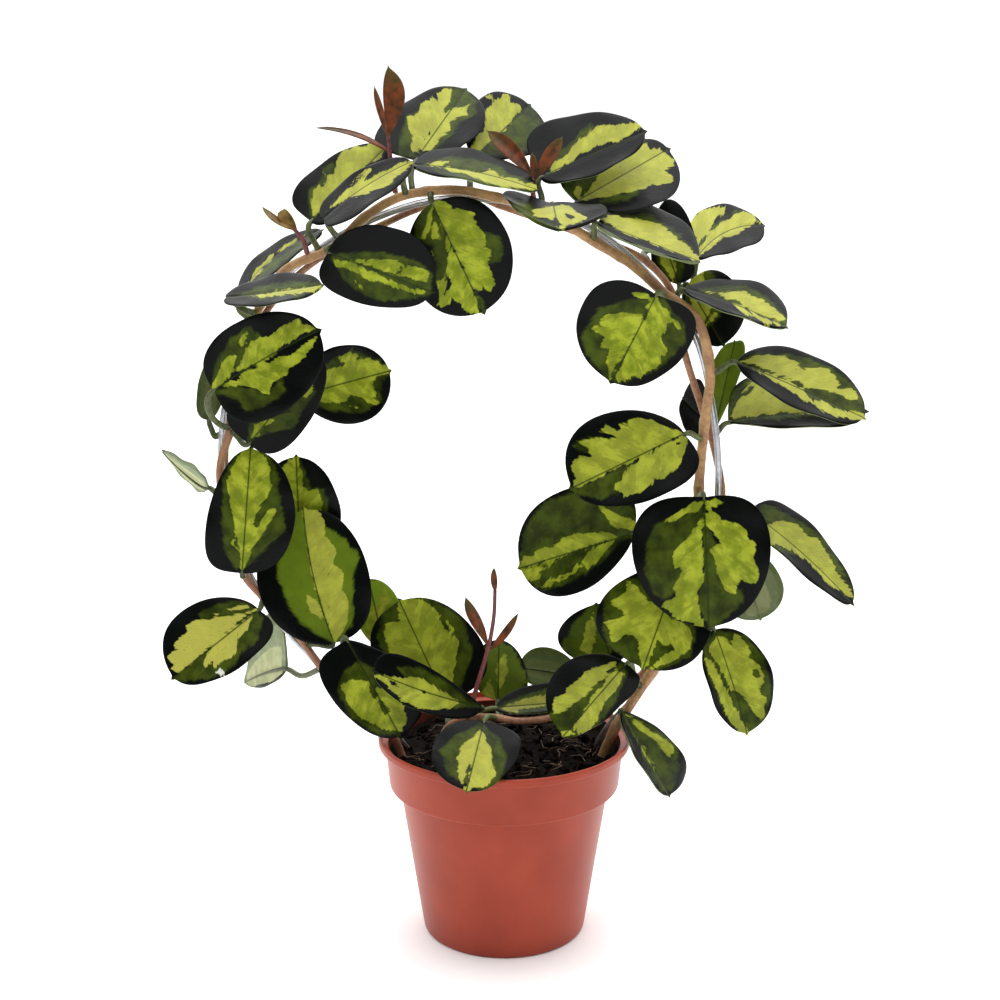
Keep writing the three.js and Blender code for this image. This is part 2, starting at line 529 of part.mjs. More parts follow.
// A small leaf without a petiole of its own, its base sunk in the stalk.
function youngLeafGeometry(leaf) {
  const blade = bladeSurface(leaf);
  const geometry = new THREE.CylinderGeometry(1, 1, 1, YOUNG_SIDES, YOUNG_STATIONS.length - 1);
  const corners = geometry.attributes.position;
  for (let i = 0; i < corners.count; i += 1) {
    const t = YOUNG_STATIONS[Math.round((corners.getY(i) + 0.5) * (YOUNG_STATIONS.length - 1))];
    const centre = blade(0, t);
    const along = blade(0, Math.min(t + 0.05, 1)).sub(blade(0, t - 0.05)).normalize();
    const side = blade(0.5, 0.5).sub(blade(-0.5, 0.5));
    side.addScaledVector(along, -side.dot(along)).normalize();
    const least = t < 0.1 ? 0.8 : LEAST_HALF_WIDTH;
    const s = corners.getX(i);
    const edge = blade(s, t);
    const narrow = edge.distanceTo(centre) < least * Math.abs(s);
    const place = narrow ? centre.addScaledVector(side, s * least) : edge;
    place.addScaledVector(side.cross(along).normalize(), corners.getZ(i) * 0.5 * YOUNG_BLADE_THICKNESS);
    corners.setXYZ(i, place.x, place.y, place.z);
  }
  geometry.computeVertexNormals();
  return geometry;
}

const vine = new THREE.Group();

function add(name, geometry, finish) {
  const mesh = new THREE.Mesh(geometry, finish());
  mesh.name = name;
  vine.add(mesh);
}

const buried = [
  [WIRE_CURVE, WIRE_RADIUS, WIRE_SIDES, WIRE_STEPS],
  [STEM_A_CURVE, STEM_A_RADIUS, STEM_SIDES, STEM_STEPS],
  [STEM_B_CURVE, STEM_B_RADIUS, STEM_SIDES, STEM_STEPS],
];

add('pot', potGeometry(), FINISH.pot);
add('soil', soilGeometry(buried.map((run) => channelGeometry(...run))), FINISH.soil);
add('hoop_wire', tube(WIRE_CURVE, WIRE_RADIUS, WIRE_SIDES, WIRE_STEPS), FINISH.wire);
add('stem_a', tube(STEM_A_CURVE, STEM_A_RADIUS, STEM_SIDES, STEM_STEPS), FINISH.stem);
add('stem_b', tube(STEM_B_CURVE, STEM_B_RADIUS, STEM_SIDES, STEM_STEPS), FINISH.stem);
for (const leaf of LEAVES) add(`leaf_${leaf.id}`, leafGeometry(leaf), FINISH.leaf);
for (const shoot of SHOOTS) add(`shoot_${shoot.id}`, shootGeometry(shoot), FINISH.shoot);

export default vine;
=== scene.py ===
"""A variegated wax vine trained round a wire hoop in a plastic nursery pot, dressed for a studio picture.

Millimetres while a shape is worked out, metres in the meshes. +Z is up and the viewer is on the -Y side.
Leaves, stems and shoots are placed by points of the reference view, as in the part's own source.
"""

import logging
import math
from dataclasses import dataclass, field
from enum import Enum
from typing import Any, Iterable, Sequence

import bmesh
import bpy
import numpy as np
from mathutils import Matrix, Vector, noise


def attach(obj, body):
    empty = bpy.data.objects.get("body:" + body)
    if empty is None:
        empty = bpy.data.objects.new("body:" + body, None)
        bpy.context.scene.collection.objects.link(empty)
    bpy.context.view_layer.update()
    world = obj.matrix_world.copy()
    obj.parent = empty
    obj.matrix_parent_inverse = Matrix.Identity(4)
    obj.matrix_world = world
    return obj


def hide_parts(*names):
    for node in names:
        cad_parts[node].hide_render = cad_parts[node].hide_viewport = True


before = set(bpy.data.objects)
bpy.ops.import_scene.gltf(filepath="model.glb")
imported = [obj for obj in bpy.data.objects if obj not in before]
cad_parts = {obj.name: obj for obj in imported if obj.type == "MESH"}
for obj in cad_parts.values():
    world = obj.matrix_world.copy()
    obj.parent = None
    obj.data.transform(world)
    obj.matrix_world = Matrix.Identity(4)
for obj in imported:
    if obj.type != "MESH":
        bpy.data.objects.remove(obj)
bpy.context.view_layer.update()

LOG = logging.getLogger("vine")
MM = 0.001
FULL_TURN = 2 * math.pi
WELD = 1e-6
BODY = "root"
Pair = tuple[float, float]
Pixel = tuple[float, float]
Place = tuple[float, float, float]

# The sizes that the part's source drives its solids with, in millimetres.
POT_HEIGHT = 98.0
RIM_RADIUS = 60.0
COLLAR_TOP_RADIUS = 56.7
COLLAR_BOTTOM_RADIUS = 54.8
COLLAR_BOTTOM_HEIGHT = 74.0
BODY_TOP_RADIUS = 50.0
BASE_RADIUS = 39.0
LIP_HEIGHT = 4.0
WALL = 1.4
BASE_THICKNESS = 2.6
DRAIN_RADIUS = 4.0
DRAIN_CIRCLE = 25.0
DRAIN_COUNT = 6
SOIL_HEIGHT = 89.0
SOIL_CROWN = 2.0
CLEARANCE = 0.3
STEM_A_RADIUS = 2.3
STEM_B_RADIUS = 1.7
WIRE_RADIUS = 1.1
PETIOLE_RADIUS = 1.35
BLADE_THICKNESS = 1.3
SHOOT_RADIUS = 1.1

# The blade's outline: where its round body ends, where its point starts and how fast the point narrows, and
# the shares of the length between which a blade can be widest.
BODY_END = 0.965
TIP_START = 0.9
TIP_SLOPE = 2.2
WIDEST_RANGE = (0.25, 0.66)


def linear(colour: str, alpha: float = 1.0) -> tuple[float, float, float, float]:
    """Turns an sRGB hex colour to Blender's linear one.

    Args:
        colour: "#rrggbb".
        alpha: the fourth channel.

    Returns:
        Linear red, green, blue and alpha.
    """
    channels = [int(colour[i:i + 2], 16) / 255 for i in (1, 3, 5)]
    red, green, blue = (c / 12.92 if c <= 0.04045 else ((c + 0.055) / 1.055) ** 2.4 for c in channels)
    return red, green, blue, alpha


def add_node(tree: bpy.types.NodeTree, kind: str, inputs: dict[Any, Any] | None = None,
             **settings: Any) -> bpy.types.Node:
    """Adds a node with its settings, input values and links.

    Args:
        tree: the tree that the node joins.
        kind: the node's type, such as "ShaderNodeMath".
        inputs: by input name or number, a value or the output socket to link from.
        **settings: the node's own properties.

    Returns:
        The new node.
    """
    node = tree.nodes.new(kind)
    for name, value in settings.items():
        setattr(node, name, value)
    for key, value in (inputs or {}).items():
        if isinstance(value, bpy.types.NodeSocket):
            tree.links.new(value, node.inputs[key])
        else:
            node.inputs[key].default_value = value
    return node


def new_material(name: str, **finish: Any) -> tuple[bpy.types.Material, bpy.types.NodeTree, bpy.types.Node]:
    """Makes an empty node material with one Principled shader on its output.

    Args:
        name: what the real material is.
        **finish: plain values of the shader's inputs, with underscores for the blanks in their names.

    Returns:
        The material, its tree and its shader.
    """
    material = bpy.data.materials.new(name)
    material.use_nodes = True
    tree = material.node_tree
    tree.nodes.clear()
    shader = add_node(tree, "ShaderNodeBsdfPrincipled",
                      {key.replace("_", " "): value for key, value in finish.items()})
    add_node(tree, "ShaderNodeOutputMaterial", {"Surface": shader.outputs["BSDF"]})
    return material, tree, shader


class Slot(Enum):
    """The record's material slots."""

    POT = "pot_plastic"
    SOIL = "potting_mix"
    WIRE = "wire"
    BARK = "bark"
    LEAF = "leaf"
    SHOOT = "young_shoot"


class Stem(Enum):
    """The two stems, by the letter in their nodes' names, and the choice that leaves it open."""

    FIRST = "a"
    SECOND = "b"
    EITHER = ""


@dataclass(frozen=True)
class View:
    """The pinhole camera that the places in this file are read through."""

    x: float = -2.0
    distance: float = 812.0
    height: float = 407.0
    focal: float = 1806.0
    pitch: float = math.radians(13.5)
    centre: float = 500.0

    @property
    def eye(self) -> np.ndarray:
        """The camera's place in millimetres."""
        return np.array([self.x, -self.distance, self.height])

    def rays(self, pixels: np.ndarray) -> np.ndarray:
        """Gives the rays through pixels, one millimetre of depth (+Y) per unit.

        Args:
            pixels: any array whose last axis is x, y.

        Returns:
            The same array with x, y, z on its last axis.
        """
        across = (pixels[..., 0] - self.centre) / self.focal
        up = (self.centre - pixels[..., 1]) / self.focal
        depth = math.cos(self.pitch) + up * math.sin(self.pitch)
        rise = up * math.cos(self.pitch) - math.sin(self.pitch)
        return np.stack([across / depth, np.ones_like(depth), rise / depth], axis=-1)

    def at_depth(self, place: Place) -> np.ndarray:
        """The point seen at [x, y] at a given depth behind the hoop's plane."""
        return self.eye + self.rays(np.array(place[:2], float)) * (place[2] + self.distance)

    def on_plane(self, pixels: np.ndarray, anchor: np.ndarray, lean: Pair) -> np.ndarray:
        """Gives the points seen at pixels on a leaning plane.

        Args:
            pixels: the array of x, y.
            anchor: a point of the plane.
            lean: how far the plane falls back per millimetre to the right and per millimetre upwards.

        Returns:
            The points in millimetres.
        """
        along = self.rays(pixels)
        eye = self.eye
        reach = anchor[1] - eye[1] + lean[0] * (eye[0] - anchor[0]) + lean[1] * (eye[2] - anchor[2])
        share = reach / (1 - lean[0] * along[..., 0] - lean[1] * along[..., 2])
        return eye + along * share[..., None]

    def pixels(self, points: np.ndarray) -> np.ndarray:
        """Where points in millimetres show in the view."""
        away = points - self.eye
        forward = away[..., 1] * math.cos(self.pitch) - away[..., 2] * math.sin(self.pitch)
        up = away[..., 1] * math.sin(self.pitch) + away[..., 2] * math.cos(self.pitch)
        return np.stack([self.centre + self.focal * away[..., 0] / forward,
                         self.centre - self.focal * up / forward], axis=-1)


VIEW = View()
MM_PER_PIXEL = VIEW.distance / VIEW.focal


def unit(vectors: np.ndarray) -> np.ndarray:
    """Scales vectors to length one."""
    return vectors / np.maximum(np.linalg.norm(vectors, axis=-1, keepdims=True), 1e-9)


def lengths(path: np.ndarray) -> np.ndarray:
    """The distance along a path at each of its points."""
    return np.concatenate([[0], np.cumsum(np.linalg.norm(np.diff(path, axis=0), axis=1))])


def spline(points: Sequence[np.ndarray], per_span: int = 16) -> np.ndarray:
    """Draws the centripetal Catmull-Rom curve through points.

    Args:
        points: the places that it runs through.
        per_span: samples between two places.

    Returns:
        The samples, one a row.
    """
    run = np.array(points, float)
    run = np.vstack([2 * run[0] - run[1], run, 2 * run[-1] - run[-2]])
    spacing = np.maximum(np.linalg.norm(np.diff(run, axis=0), axis=1) ** 0.5, 1e-6)
    samples = []
    for i in range(1, len(run) - 2):
        before, span, after = spacing[i - 1:i + 2]
        p0, p1, p2, p3 = run[i - 1:i + 3]
        start = span * ((p1 - p0) / before - (p2 - p0) / (before + span) + (p2 - p1) / span)
        end = span * ((p2 - p1) / span - (p3 - p1) / (span + after) + (p3 - p2) / after)
        u = np.linspace(0, 1, per_span, endpoint=False)[:, None]
        samples.append(p1 + start * u + (3 * (p2 - p1) - 2 * start - end) * u ** 2
                       + (2 * (p1 - p2) + start + end) * u ** 3)
    return np.vstack(samples + [run[-2:-1]])


def resampled(path: np.ndarray, count: int) -> np.ndarray:
    """Spaces count points evenly along a path."""
    length = lengths(path)
    wanted = np.linspace(0, length[-1], count)
    return np.stack([np.interp(wanted, length, path[:, k]) for k in range(3)], axis=-1)


def blade_grid(rows: int, columns: int) -> tuple[np.ndarray, np.ndarray]:
    """Spreads a grid over a blade, closer at its edges, base and tip.

    Args:
        rows: how many rows run from base to tip.
        columns: how many columns run from edge to edge.

    Returns:
        s from the left edge (-1) over the midrib (0) to the right edge (1), and t from base (0) to tip (1).
    """
    return np.meshgrid(np.sin(np.linspace(-1, 1, columns) * math.pi / 2),
                       0.5 - 0.5 * np.cos(np.linspace(0, 1, rows) * math.pi))


def steady_normals(points: np.ndarray, at_base: int) -> np.ndarray:
    """Gives the directions out of a blade, steadied where its rows run together.

    Args:
        points: rows x columns x 3 points of the blade.
        at_base: how many rows at the base borrow the direction of the third.

    Returns:
        The unit directions.
    """
    normal = np.cross(np.gradient(points, axis=1), np.gradient(points, axis=0))
    normal[:at_base], normal[-1] = normal[2], normal[-3]
    return unit(normal)


class Piece:
    """One finished object, built up as skins in a bmesh."""

    def __init__(self, name: str) -> None:
        """Starts an empty piece called name."""
        self.name = name
        self.mesh = bmesh.new()

    def skin(self, points: np.ndarray, layers: dict[str, np.ndarray] | None = None, slot: int = 0) -> None:
        """Adds a grid and lays its corners on points.

        Args:
            points: rows x columns x 3, in millimetres.
            layers: per corner, values that the finishes read, by attribute name.
            slot: the material slot of the new faces.
        """
        rows, columns = points.shape[:2]
        stores = {name: self.mesh.verts.layers.float.get(name) or self.mesh.verts.layers.float.new(name)
                  for name in (layers or {})}
        corners = bmesh.ops.create_grid(
            self.mesh, x_segments=columns - 1, y_segments=rows - 1, size=1.0)["verts"]
        for corner in corners:
            row = round((corner.co.y + 1) / 2 * (rows - 1))
            column = round((corner.co.x + 1) / 2 * (columns - 1))
            for name, store in stores.items():
                corner[store] = float(layers[name][row, column])
            corner.co = points[row, column] * MM
        for face in {face for corner in corners for face in corner.link_faces}:
            face.material_index = slot

    def tube(self, path: np.ndarray, radii: np.ndarray, sides: int, slot: int = 0,
             layers: dict[str, np.ndarray] | None = None) -> None:
        """Adds a round rod, closed by a pole at each end.

        Args:
            path: the centre line, one point a row.
            radii: the radius at each point, or at each point and side.
            sides: how many flats go round.
            slot: the material slot of the new faces.
            layers: per point of the path, values that the finishes read.
        """
        tangent = unit(np.gradient(path, axis=0))
        side = np.cross(tangent[0], [0.0, 0.0, 1.0] if abs(tangent[0][2]) < 0.9 else [1.0, 0.0, 0.0])
        turn = np.linspace(0, FULL_TURN, sides + 1)
        rings = []
        for centre, along, radius in zip(path, tangent, np.atleast_2d(radii.T).T):
            side = unit(side - along * np.dot(side, along))
            up = np.cross(along, side)
            circle = np.outer(np.cos(turn), side) + np.outer(np.sin(turn), up)
            rings.append(centre + radius[..., None] * circle)
        rings = [np.repeat(path[:1], sides + 1, axis=0), *rings, np.repeat(path[-1:], sides + 1, axis=0)]
        values = {name: np.repeat(np.concatenate([v[:1], v, v[-1:]])[:, None], sides + 1, axis=1)
                  for name, v in (layers or {}).items()}
        self.skin(np.array(rings), values, slot)

    def finish(self, slot: Slot, materials: Iterable[bpy.types.Material], replaces: str | None = None,
               smooth: bool = True) -> bpy.types.Object:
        """Closes the seams, turns the faces outwards and hands the piece to the frame.

        Args:
            slot: the record's material slot, which is not used.
            materials: one per material slot of the faces.
            replaces: the CAD node that the piece stands for.
            smooth: whether the faces shade as one surface.

        Returns:
            The object.
        """
        bmesh.ops.remove_doubles(self.mesh, verts=self.mesh.verts, dist=WELD)
        bmesh.ops.dissolve_degenerate(self.mesh, edges=self.mesh.edges, dist=WELD / 10)
        bmesh.ops.recalc_face_normals(self.mesh, faces=self.mesh.faces)
        for face in self.mesh.faces:
            face.smooth = smooth
        data = bpy.data.meshes.new(self.name)
        self.mesh.to_mesh(data)
        self.mesh.free()
        for material in materials:
            data.materials.append(material)
        piece = bpy.data.objects.new(self.name, data)
        bpy.context.scene.collection.objects.link(piece)
        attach(piece, BODY)
        if replaces:
            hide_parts(replaces)
        LOG.info("%s: %d faces", self.name, len(data.polygons))
        return piece


@dataclass(frozen=True)
class Ramp:
    """A step from one level to another: what lies between low and high becomes start to end."""

    low: float = 0.0
    high: float = 1.0
    start: float = 0.0
    end: float = 1.0

    def of(self, value: bpy.types.NodeSocket) -> dict[str, Any]:
        """The inputs of a Map Range that takes a value up this step."""
        return {"Value": value, "From Min": self.low, "From Max": self.high, "To Min": self.start,
                "To Max": self.end}


@dataclass(frozen=True)
class LeafSkin:
    """Living hoya blade. A thick waxy cuticle gives soft wide highlights over near-black green, and the lime
    patch in the middle breaks up into teeth along the side veins. The underside is pale and matt."""

    lime_pale: str = "#a3ae30"
    lime_deep: str = "#748418"
    olive: str = "#5f6b18"
    # Painted sheen: a paler, yellower lime that stands in for light falling on the patch.
    painted_sheen_lime: str = "#b8b453"
    fleck: str = "#37440f"
    moss_dark: str = "#232c08"
    moss_light: str = "#445110"
    glow: str = "#7f9a26"
    margin: str = "#070a08"
    rib: str = "#232f0d"
    residue: str = "#d9dacd"
    under_rim: str = "#737e5c"
    under_moss: str = "#8f997a"
    under_lime: str = "#b6ba8e"
    # How far a side vein runs towards the tip per millimetre from the midrib, and how the pattern is drawn
    # out along it.
    vein_slope: float = 0.8
    vein_stretch: float = 0.5
    # The sizes of the noises, and how far the two coarser ones push the edge of a marking.
    lobe_mm: float = 6.0
    tooth_mm: float = 1.7
    fleck_mm: float = 1.0
    blotch_mm: float = 8.0
    lobe_push: float = 4.6
    tooth_push: float = 2.2
    noise_roughness: float = 0.55
    tone_shift: Place = (31.0, 57.0, 0.0)
    # Steps from a value on the blade to the share of a colour. The two edges are in millimetres about the
    # noises' middle push.
    lime_edge: Ramp = Ramp(3.1, 3.7)
    moss_edge: Ramp = Ramp(2.1, 4.0)
    lime_blotch: Ramp = Ramp(0.36, 0.64)
    lime_tone: Ramp = Ramp(0.5, 0.56, end=0.5)
    lime_fleck: Ramp = Ramp(0.6, 0.74, end=0.5)
    moss_tone: Ramp = Ramp(0.3, 0.7)
    moss_fleck: Ramp = Ramp(0.6, 0.74, end=0.3)
    under_blotch: Ramp = Ramp(0.36, 0.64, end=0.25)
    rib_line: Ramp = Ramp(0.15, 0.6, start=0.8, end=0.0)
    crust_edge: Ramp = Ramp(2.3, 2.7)
    crust_push: float = 3.0
    upper_side: Ramp = Ramp(0.3, 0.5)
    # The surface: matt below and waxy above, a little duller in blotches, with a low relief.
    dullness: Ramp = Ramp(start=0.6, end=0.24)
    blotch_dullness: float = 0.14
    blotch_relief: float = 3.0
    relief_mm: float = 0.25
    relief_share: float = 0.35

    def clouds(self, tree: bpy.types.NodeTree,
               read: dict[str, bpy.types.NodeSocket]) -> dict[str, bpy.types.NodeSocket]:
        """Draws the noises that the markings break up by.

        Args:
            tree: the material's tree.
            read: the blade's attributes by name.

        Returns:
            The noises by name, and as "reach" the distance from the midrib.
        """
        reach = add_node(tree, "ShaderNodeMath", {0: read["across"]}, operation="ABSOLUTE").outputs[0]
        # A side vein leaves the midrib aslant, so the pattern is drawn out along that slope.
        fall = add_node(tree, "ShaderNodeMath", {0: reach, 1: -self.vein_slope, 2: read["along"]},
                        operation="MULTIPLY_ADD").outputs[0]
        drawn = add_node(tree, "ShaderNodeMath", {0: read["across"], 1: self.vein_stretch},
                         operation="MULTIPLY").outputs[0]
        veins = add_node(tree, "ShaderNodeCombineXYZ", {"X": drawn, "Y": fall}).outputs[0]
        even = add_node(tree, "ShaderNodeCombineXYZ", {"X": read["across"], "Y": read["along"]}).outputs[0]
        shifted = add_node(tree, "ShaderNodeMapping",
                           {"Vector": veins, "Location": self.tone_shift}).outputs[0]
        clouds = {"reach": reach}
        for name, place, size_mm, detail in (
                ("lobes", veins, self.lobe_mm, 4.0),
                ("teeth", veins, self.tooth_mm, 2.0),
                ("flecks", veins, self.fleck_mm, 2.0),
                ("blotches", even, self.blotch_mm, 4.0),
                ("tones", shifted, self.lobe_mm, 5.0)):
            clouds[name] = add_node(tree, "ShaderNodeTexNoise", {
                "Vector": place, "Scale": 1 / size_mm, "Detail": detail,
                "Roughness": self.noise_roughness}).outputs["Fac"]
        return clouds

    def shares(self, tree: bpy.types.NodeTree, read: dict[str, bpy.types.NodeSocket],
               clouds: dict[str, bpy.types.NodeSocket]) -> dict[str, bpy.types.NodeSocket]:
        """Works out where each marking lies.

        Args:
            tree: the material's tree.
            read: the blade's attributes by name.
            clouds: the noises by name.

        Returns:
            By marking, a share from none to all of it.
        """
        bitten = add_node(tree, "ShaderNodeMath", {0: clouds["teeth"], 1: self.tooth_push},
                          operation="MULTIPLY").outputs[0]
        jag = add_node(tree, "ShaderNodeMath", {0: clouds["lobes"], 1: self.lobe_push, 2: bitten},
                       operation="MULTIPLY_ADD").outputs[0]
        jagged = {name: add_node(tree, "ShaderNodeMath", {0: jag, 1: read[name]}, operation="ADD").outputs[0]
                  for name in ("lime", "moss")}
        crust = add_node(tree, "ShaderNodeMath", {0: clouds["flecks"], 1: self.crust_push, 2: read["dust"]},
                         operation="MULTIPLY_ADD").outputs[0]
        # Besides glow, these even shares are painted light: painted sheen that pales the patch and painted
        # shade that darkens the leaf.
        shares = {name: read[name] for name in ("glow", "painted_sheen", "painted_shade")}
        for name, value, ramp in (
                ("lime_edge", jagged["lime"], self.lime_edge),
                ("moss_edge", jagged["moss"], self.moss_edge),
                ("lime_blotch", clouds["blotches"], self.lime_blotch),
                ("lime_tone", clouds["tones"], self.lime_tone),
                ("lime_fleck", clouds["flecks"], self.lime_fleck),
                ("moss_tone", clouds["blotches"], self.moss_tone),
                ("moss_fleck", clouds["flecks"], self.moss_fleck),
                ("under_blotch", clouds["blotches"], self.under_blotch),
                ("rib_line", clouds["reach"], self.rib_line),
                ("crust_edge", crust, self.crust_edge),
                ("upper_side", read["top"], self.upper_side)):
            shares[name] = add_node(tree, "ShaderNodeMapRange", ramp.of(value),
                                    interpolation_type="SMOOTHSTEP").outputs[0]
        return shares

    def build(self) -> bpy.types.Material:
        """Makes the material, which reads the blade's own attributes in millimetres."""
        material, tree, shader = new_material("waxy_variegated_blade", IOR=1.45, Specular_IOR_Level=0.09)
        read = {name: add_node(tree, "ShaderNodeAttribute", attribute_name=name).outputs["Fac"]
                for name in ("across", "along", "lime", "moss", "dust", "top", "glow", "painted_shade", "painted_sheen")}
        clouds = self.clouds(tree, read)
        shares = self.shares(tree, read, clouds)
        # Each look is a ground with coats over it, and a later look takes an earlier one by its name. The
        # lime look's third coat is painted sheen, and the blade's last coat darkens it as painted shade.
        looks: dict[str, Any] = {}
        for look, ground, coats in (
                ("lime", self.lime_deep, (("lime_blotch", self.lime_pale), ("lime_tone", self.olive),
                                          ("painted_sheen", self.painted_sheen_lime), ("lime_fleck", self.fleck))),
                ("moss", self.moss_dark, (("moss_tone", self.moss_light), ("moss_fleck", self.moss_light),
                                          ("glow", self.glow))),
                ("upper", self.margin, (("moss_edge", "moss"), ("lime_edge", "lime"), ("rib_line", self.rib),
                                        ("crust_edge", self.residue))),
                ("under", self.under_rim, (("moss_edge", self.under_moss), ("lime_edge", self.under_lime),
                                           ("under_blotch", self.fleck))),
                ("shade", self.fleck, (("upper_side", self.margin),)),
                # Painted shade: the blade goes towards the shade look by the leaf's shade share.
                ("blade", "under", (("upper_side", "upper"), ("painted_shade", "shade")))):
            colour = looks[ground] if ground in looks else linear(ground)
            for share, coat in coats:
                over = looks[coat] if coat in looks else linear(coat)
                colour = add_node(tree, "ShaderNodeMix", {0: shares[share], 6: colour, 7: over},
                                  data_type="RGBA").outputs[2]
            looks[look] = colour
        tree.links.new(looks["blade"], shader.inputs["Base Color"])
        dull = add_node(tree, "ShaderNodeMapRange", self.dullness.of(shares["upper_side"]),
                        interpolation_type="SMOOTHSTEP").outputs[0]
        rough = add_node(tree, "ShaderNodeMath", {0: clouds["blotches"], 1: self.blotch_dullness, 2: dull},
                         operation="MULTIPLY_ADD").outputs[0]
        tree.links.new(rough, shader.inputs["Roughness"])
        grain = add_node(tree, "ShaderNodeMath", {0: clouds["blotches"], 1: self.blotch_relief,
                                                  2: clouds["teeth"]}, operation="MULTIPLY_ADD").outputs[0]
        bump = add_node(tree, "ShaderNodeBump", {"Strength": self.relief_share,
                                                 "Distance": self.relief_mm * MM, "Height": grain})
        tree.links.new(bump.outputs[0], shader.inputs["Normal"])
        return material


@dataclass(frozen=True)
class RodSkin:
    """A plant rod: petiole, bark, young stalk or root fibre. Its colour drifts lengthwise and in fine
    streaks, so that it looks fibrous, and the surface is matt to satin."""

    name: str
    dark: str
    light: str
    roughness: float
    # The colour of the stretch that comes first out of the soil, and where that stretch ends.
    first: str = ""
    first_range: Ramp = Ramp(156.0, 260.0, start=0.25)
    drift_mm: float = 14.0
    streak_mm: float = 1.6
    tone: Ramp = Ramp(0.7, 1.3)
    relief_mm: float = 0.12
    relief_share: float = 0.5

    def build(self) -> bpy.types.Material:
        """Makes the material, which reads the rod's own length and the object's coordinates."""
        material, tree, shader = new_material(self.name, Roughness=self.roughness)
        along = add_node(tree, "ShaderNodeAttribute", attribute_name="along").outputs["Fac"]
        place = add_node(tree, "ShaderNodeTexCoord").outputs["Object"]
        slow = add_node(tree, "ShaderNodeTexNoise", {"W": along, "Scale": 1 / self.drift_mm, "Detail": 3.0},
                        noise_dimensions="1D").outputs["Fac"]
        fine = add_node(tree, "ShaderNodeTexNoise", {
            "Vector": place, "Scale": 1 / (self.streak_mm * MM), "Detail": 3.0}).outputs["Fac"]
        both = add_node(tree, "ShaderNodeMath", {0: slow, 1: fine}, operation="ADD").outputs[0]
        share = add_node(tree, "ShaderNodeMapRange", self.tone.of(both),
                         interpolation_type="SMOOTHSTEP").outputs[0]
        colour = add_node(tree, "ShaderNodeMix", {0: share, 6: linear(self.dark), 7: linear(self.light)},
                          data_type="RGBA").outputs[2]
        if self.first:
            ripe = add_node(tree, "ShaderNodeMapRange", self.first_range.of(along)).outputs[0]
            colour = add_node(tree, "ShaderNodeMix", {0: ripe, 6: linear(self.first), 7: colour},
                              data_type="RGBA").outputs[2]
        tree.links.new(colour, shader.inputs["Base Color"])
        bump = add_node(tree, "ShaderNodeBump", {"Strength": self.relief_share,
                                                 "Distance": self.relief_mm * MM, "Height": fine})
        tree.links.new(bump.outputs[0], shader.inputs["Normal"])
        return material


@dataclass(frozen=True)
class YoungSkin:
    """A leaf that has just unfolded: soft red-brown tissue that greens towards its tip, with a soft sheen."""

    name: str = "red_young_leaf_tissue"
    red: str = "#7d4020"
    brown: str = "#412c18"
    green: str = "#4a4c22"
    cloud_mm: float = 4.0
    red_share: Ramp = Ramp(0.35, 0.65)
    green_share: Ramp = Ramp(0.6, 1.0, end=0.8)
    relief_mm: float = 0.2
    relief_share: float = 0.3

    def build(self) -> bpy.types.Material:
        """Makes the material, which reads how far along the young leaf a point lies."""
        material, tree, shader = new_material(self.name, Roughness=0.42, Specular_IOR_Level=0.2)
        along = add_node(tree, "ShaderNodeAttribute", attribute_name="along").outputs["Fac"]
        place = add_node(tree, "ShaderNodeTexCoord").outputs["Object"]
        cloud = add_node(tree, "ShaderNodeTexNoise", {
            "Vector": place, "Scale": 1 / (self.cloud_mm * MM), "Detail": 4.0}).outputs["Fac"]
        share = add_node(tree, "ShaderNodeMapRange", self.red_share.of(cloud)).outputs[0]
        colour = add_node(tree, "ShaderNodeMix", {0: share, 6: linear(self.brown), 7: linear(self.red)},
                          data_type="RGBA").outputs[2]
        tip = add_node(tree, "ShaderNodeMapRange", self.green_share.of(along)).outputs[0]
        colour = add_node(tree, "ShaderNodeMix", {0: tip, 6: colour, 7: linear(self.green)},
                          data_type="RGBA").outputs[2]
        tree.links.new(colour, shader.inputs["Base Color"])
        bump = add_node(tree, "ShaderNodeBump", {"Strength": self.relief_share,
                                                 "Distance": self.relief_mm * MM, "Height": cloud})
        tree.links.new(bump.outputs[0], shader.inputs["Normal"])
        return material


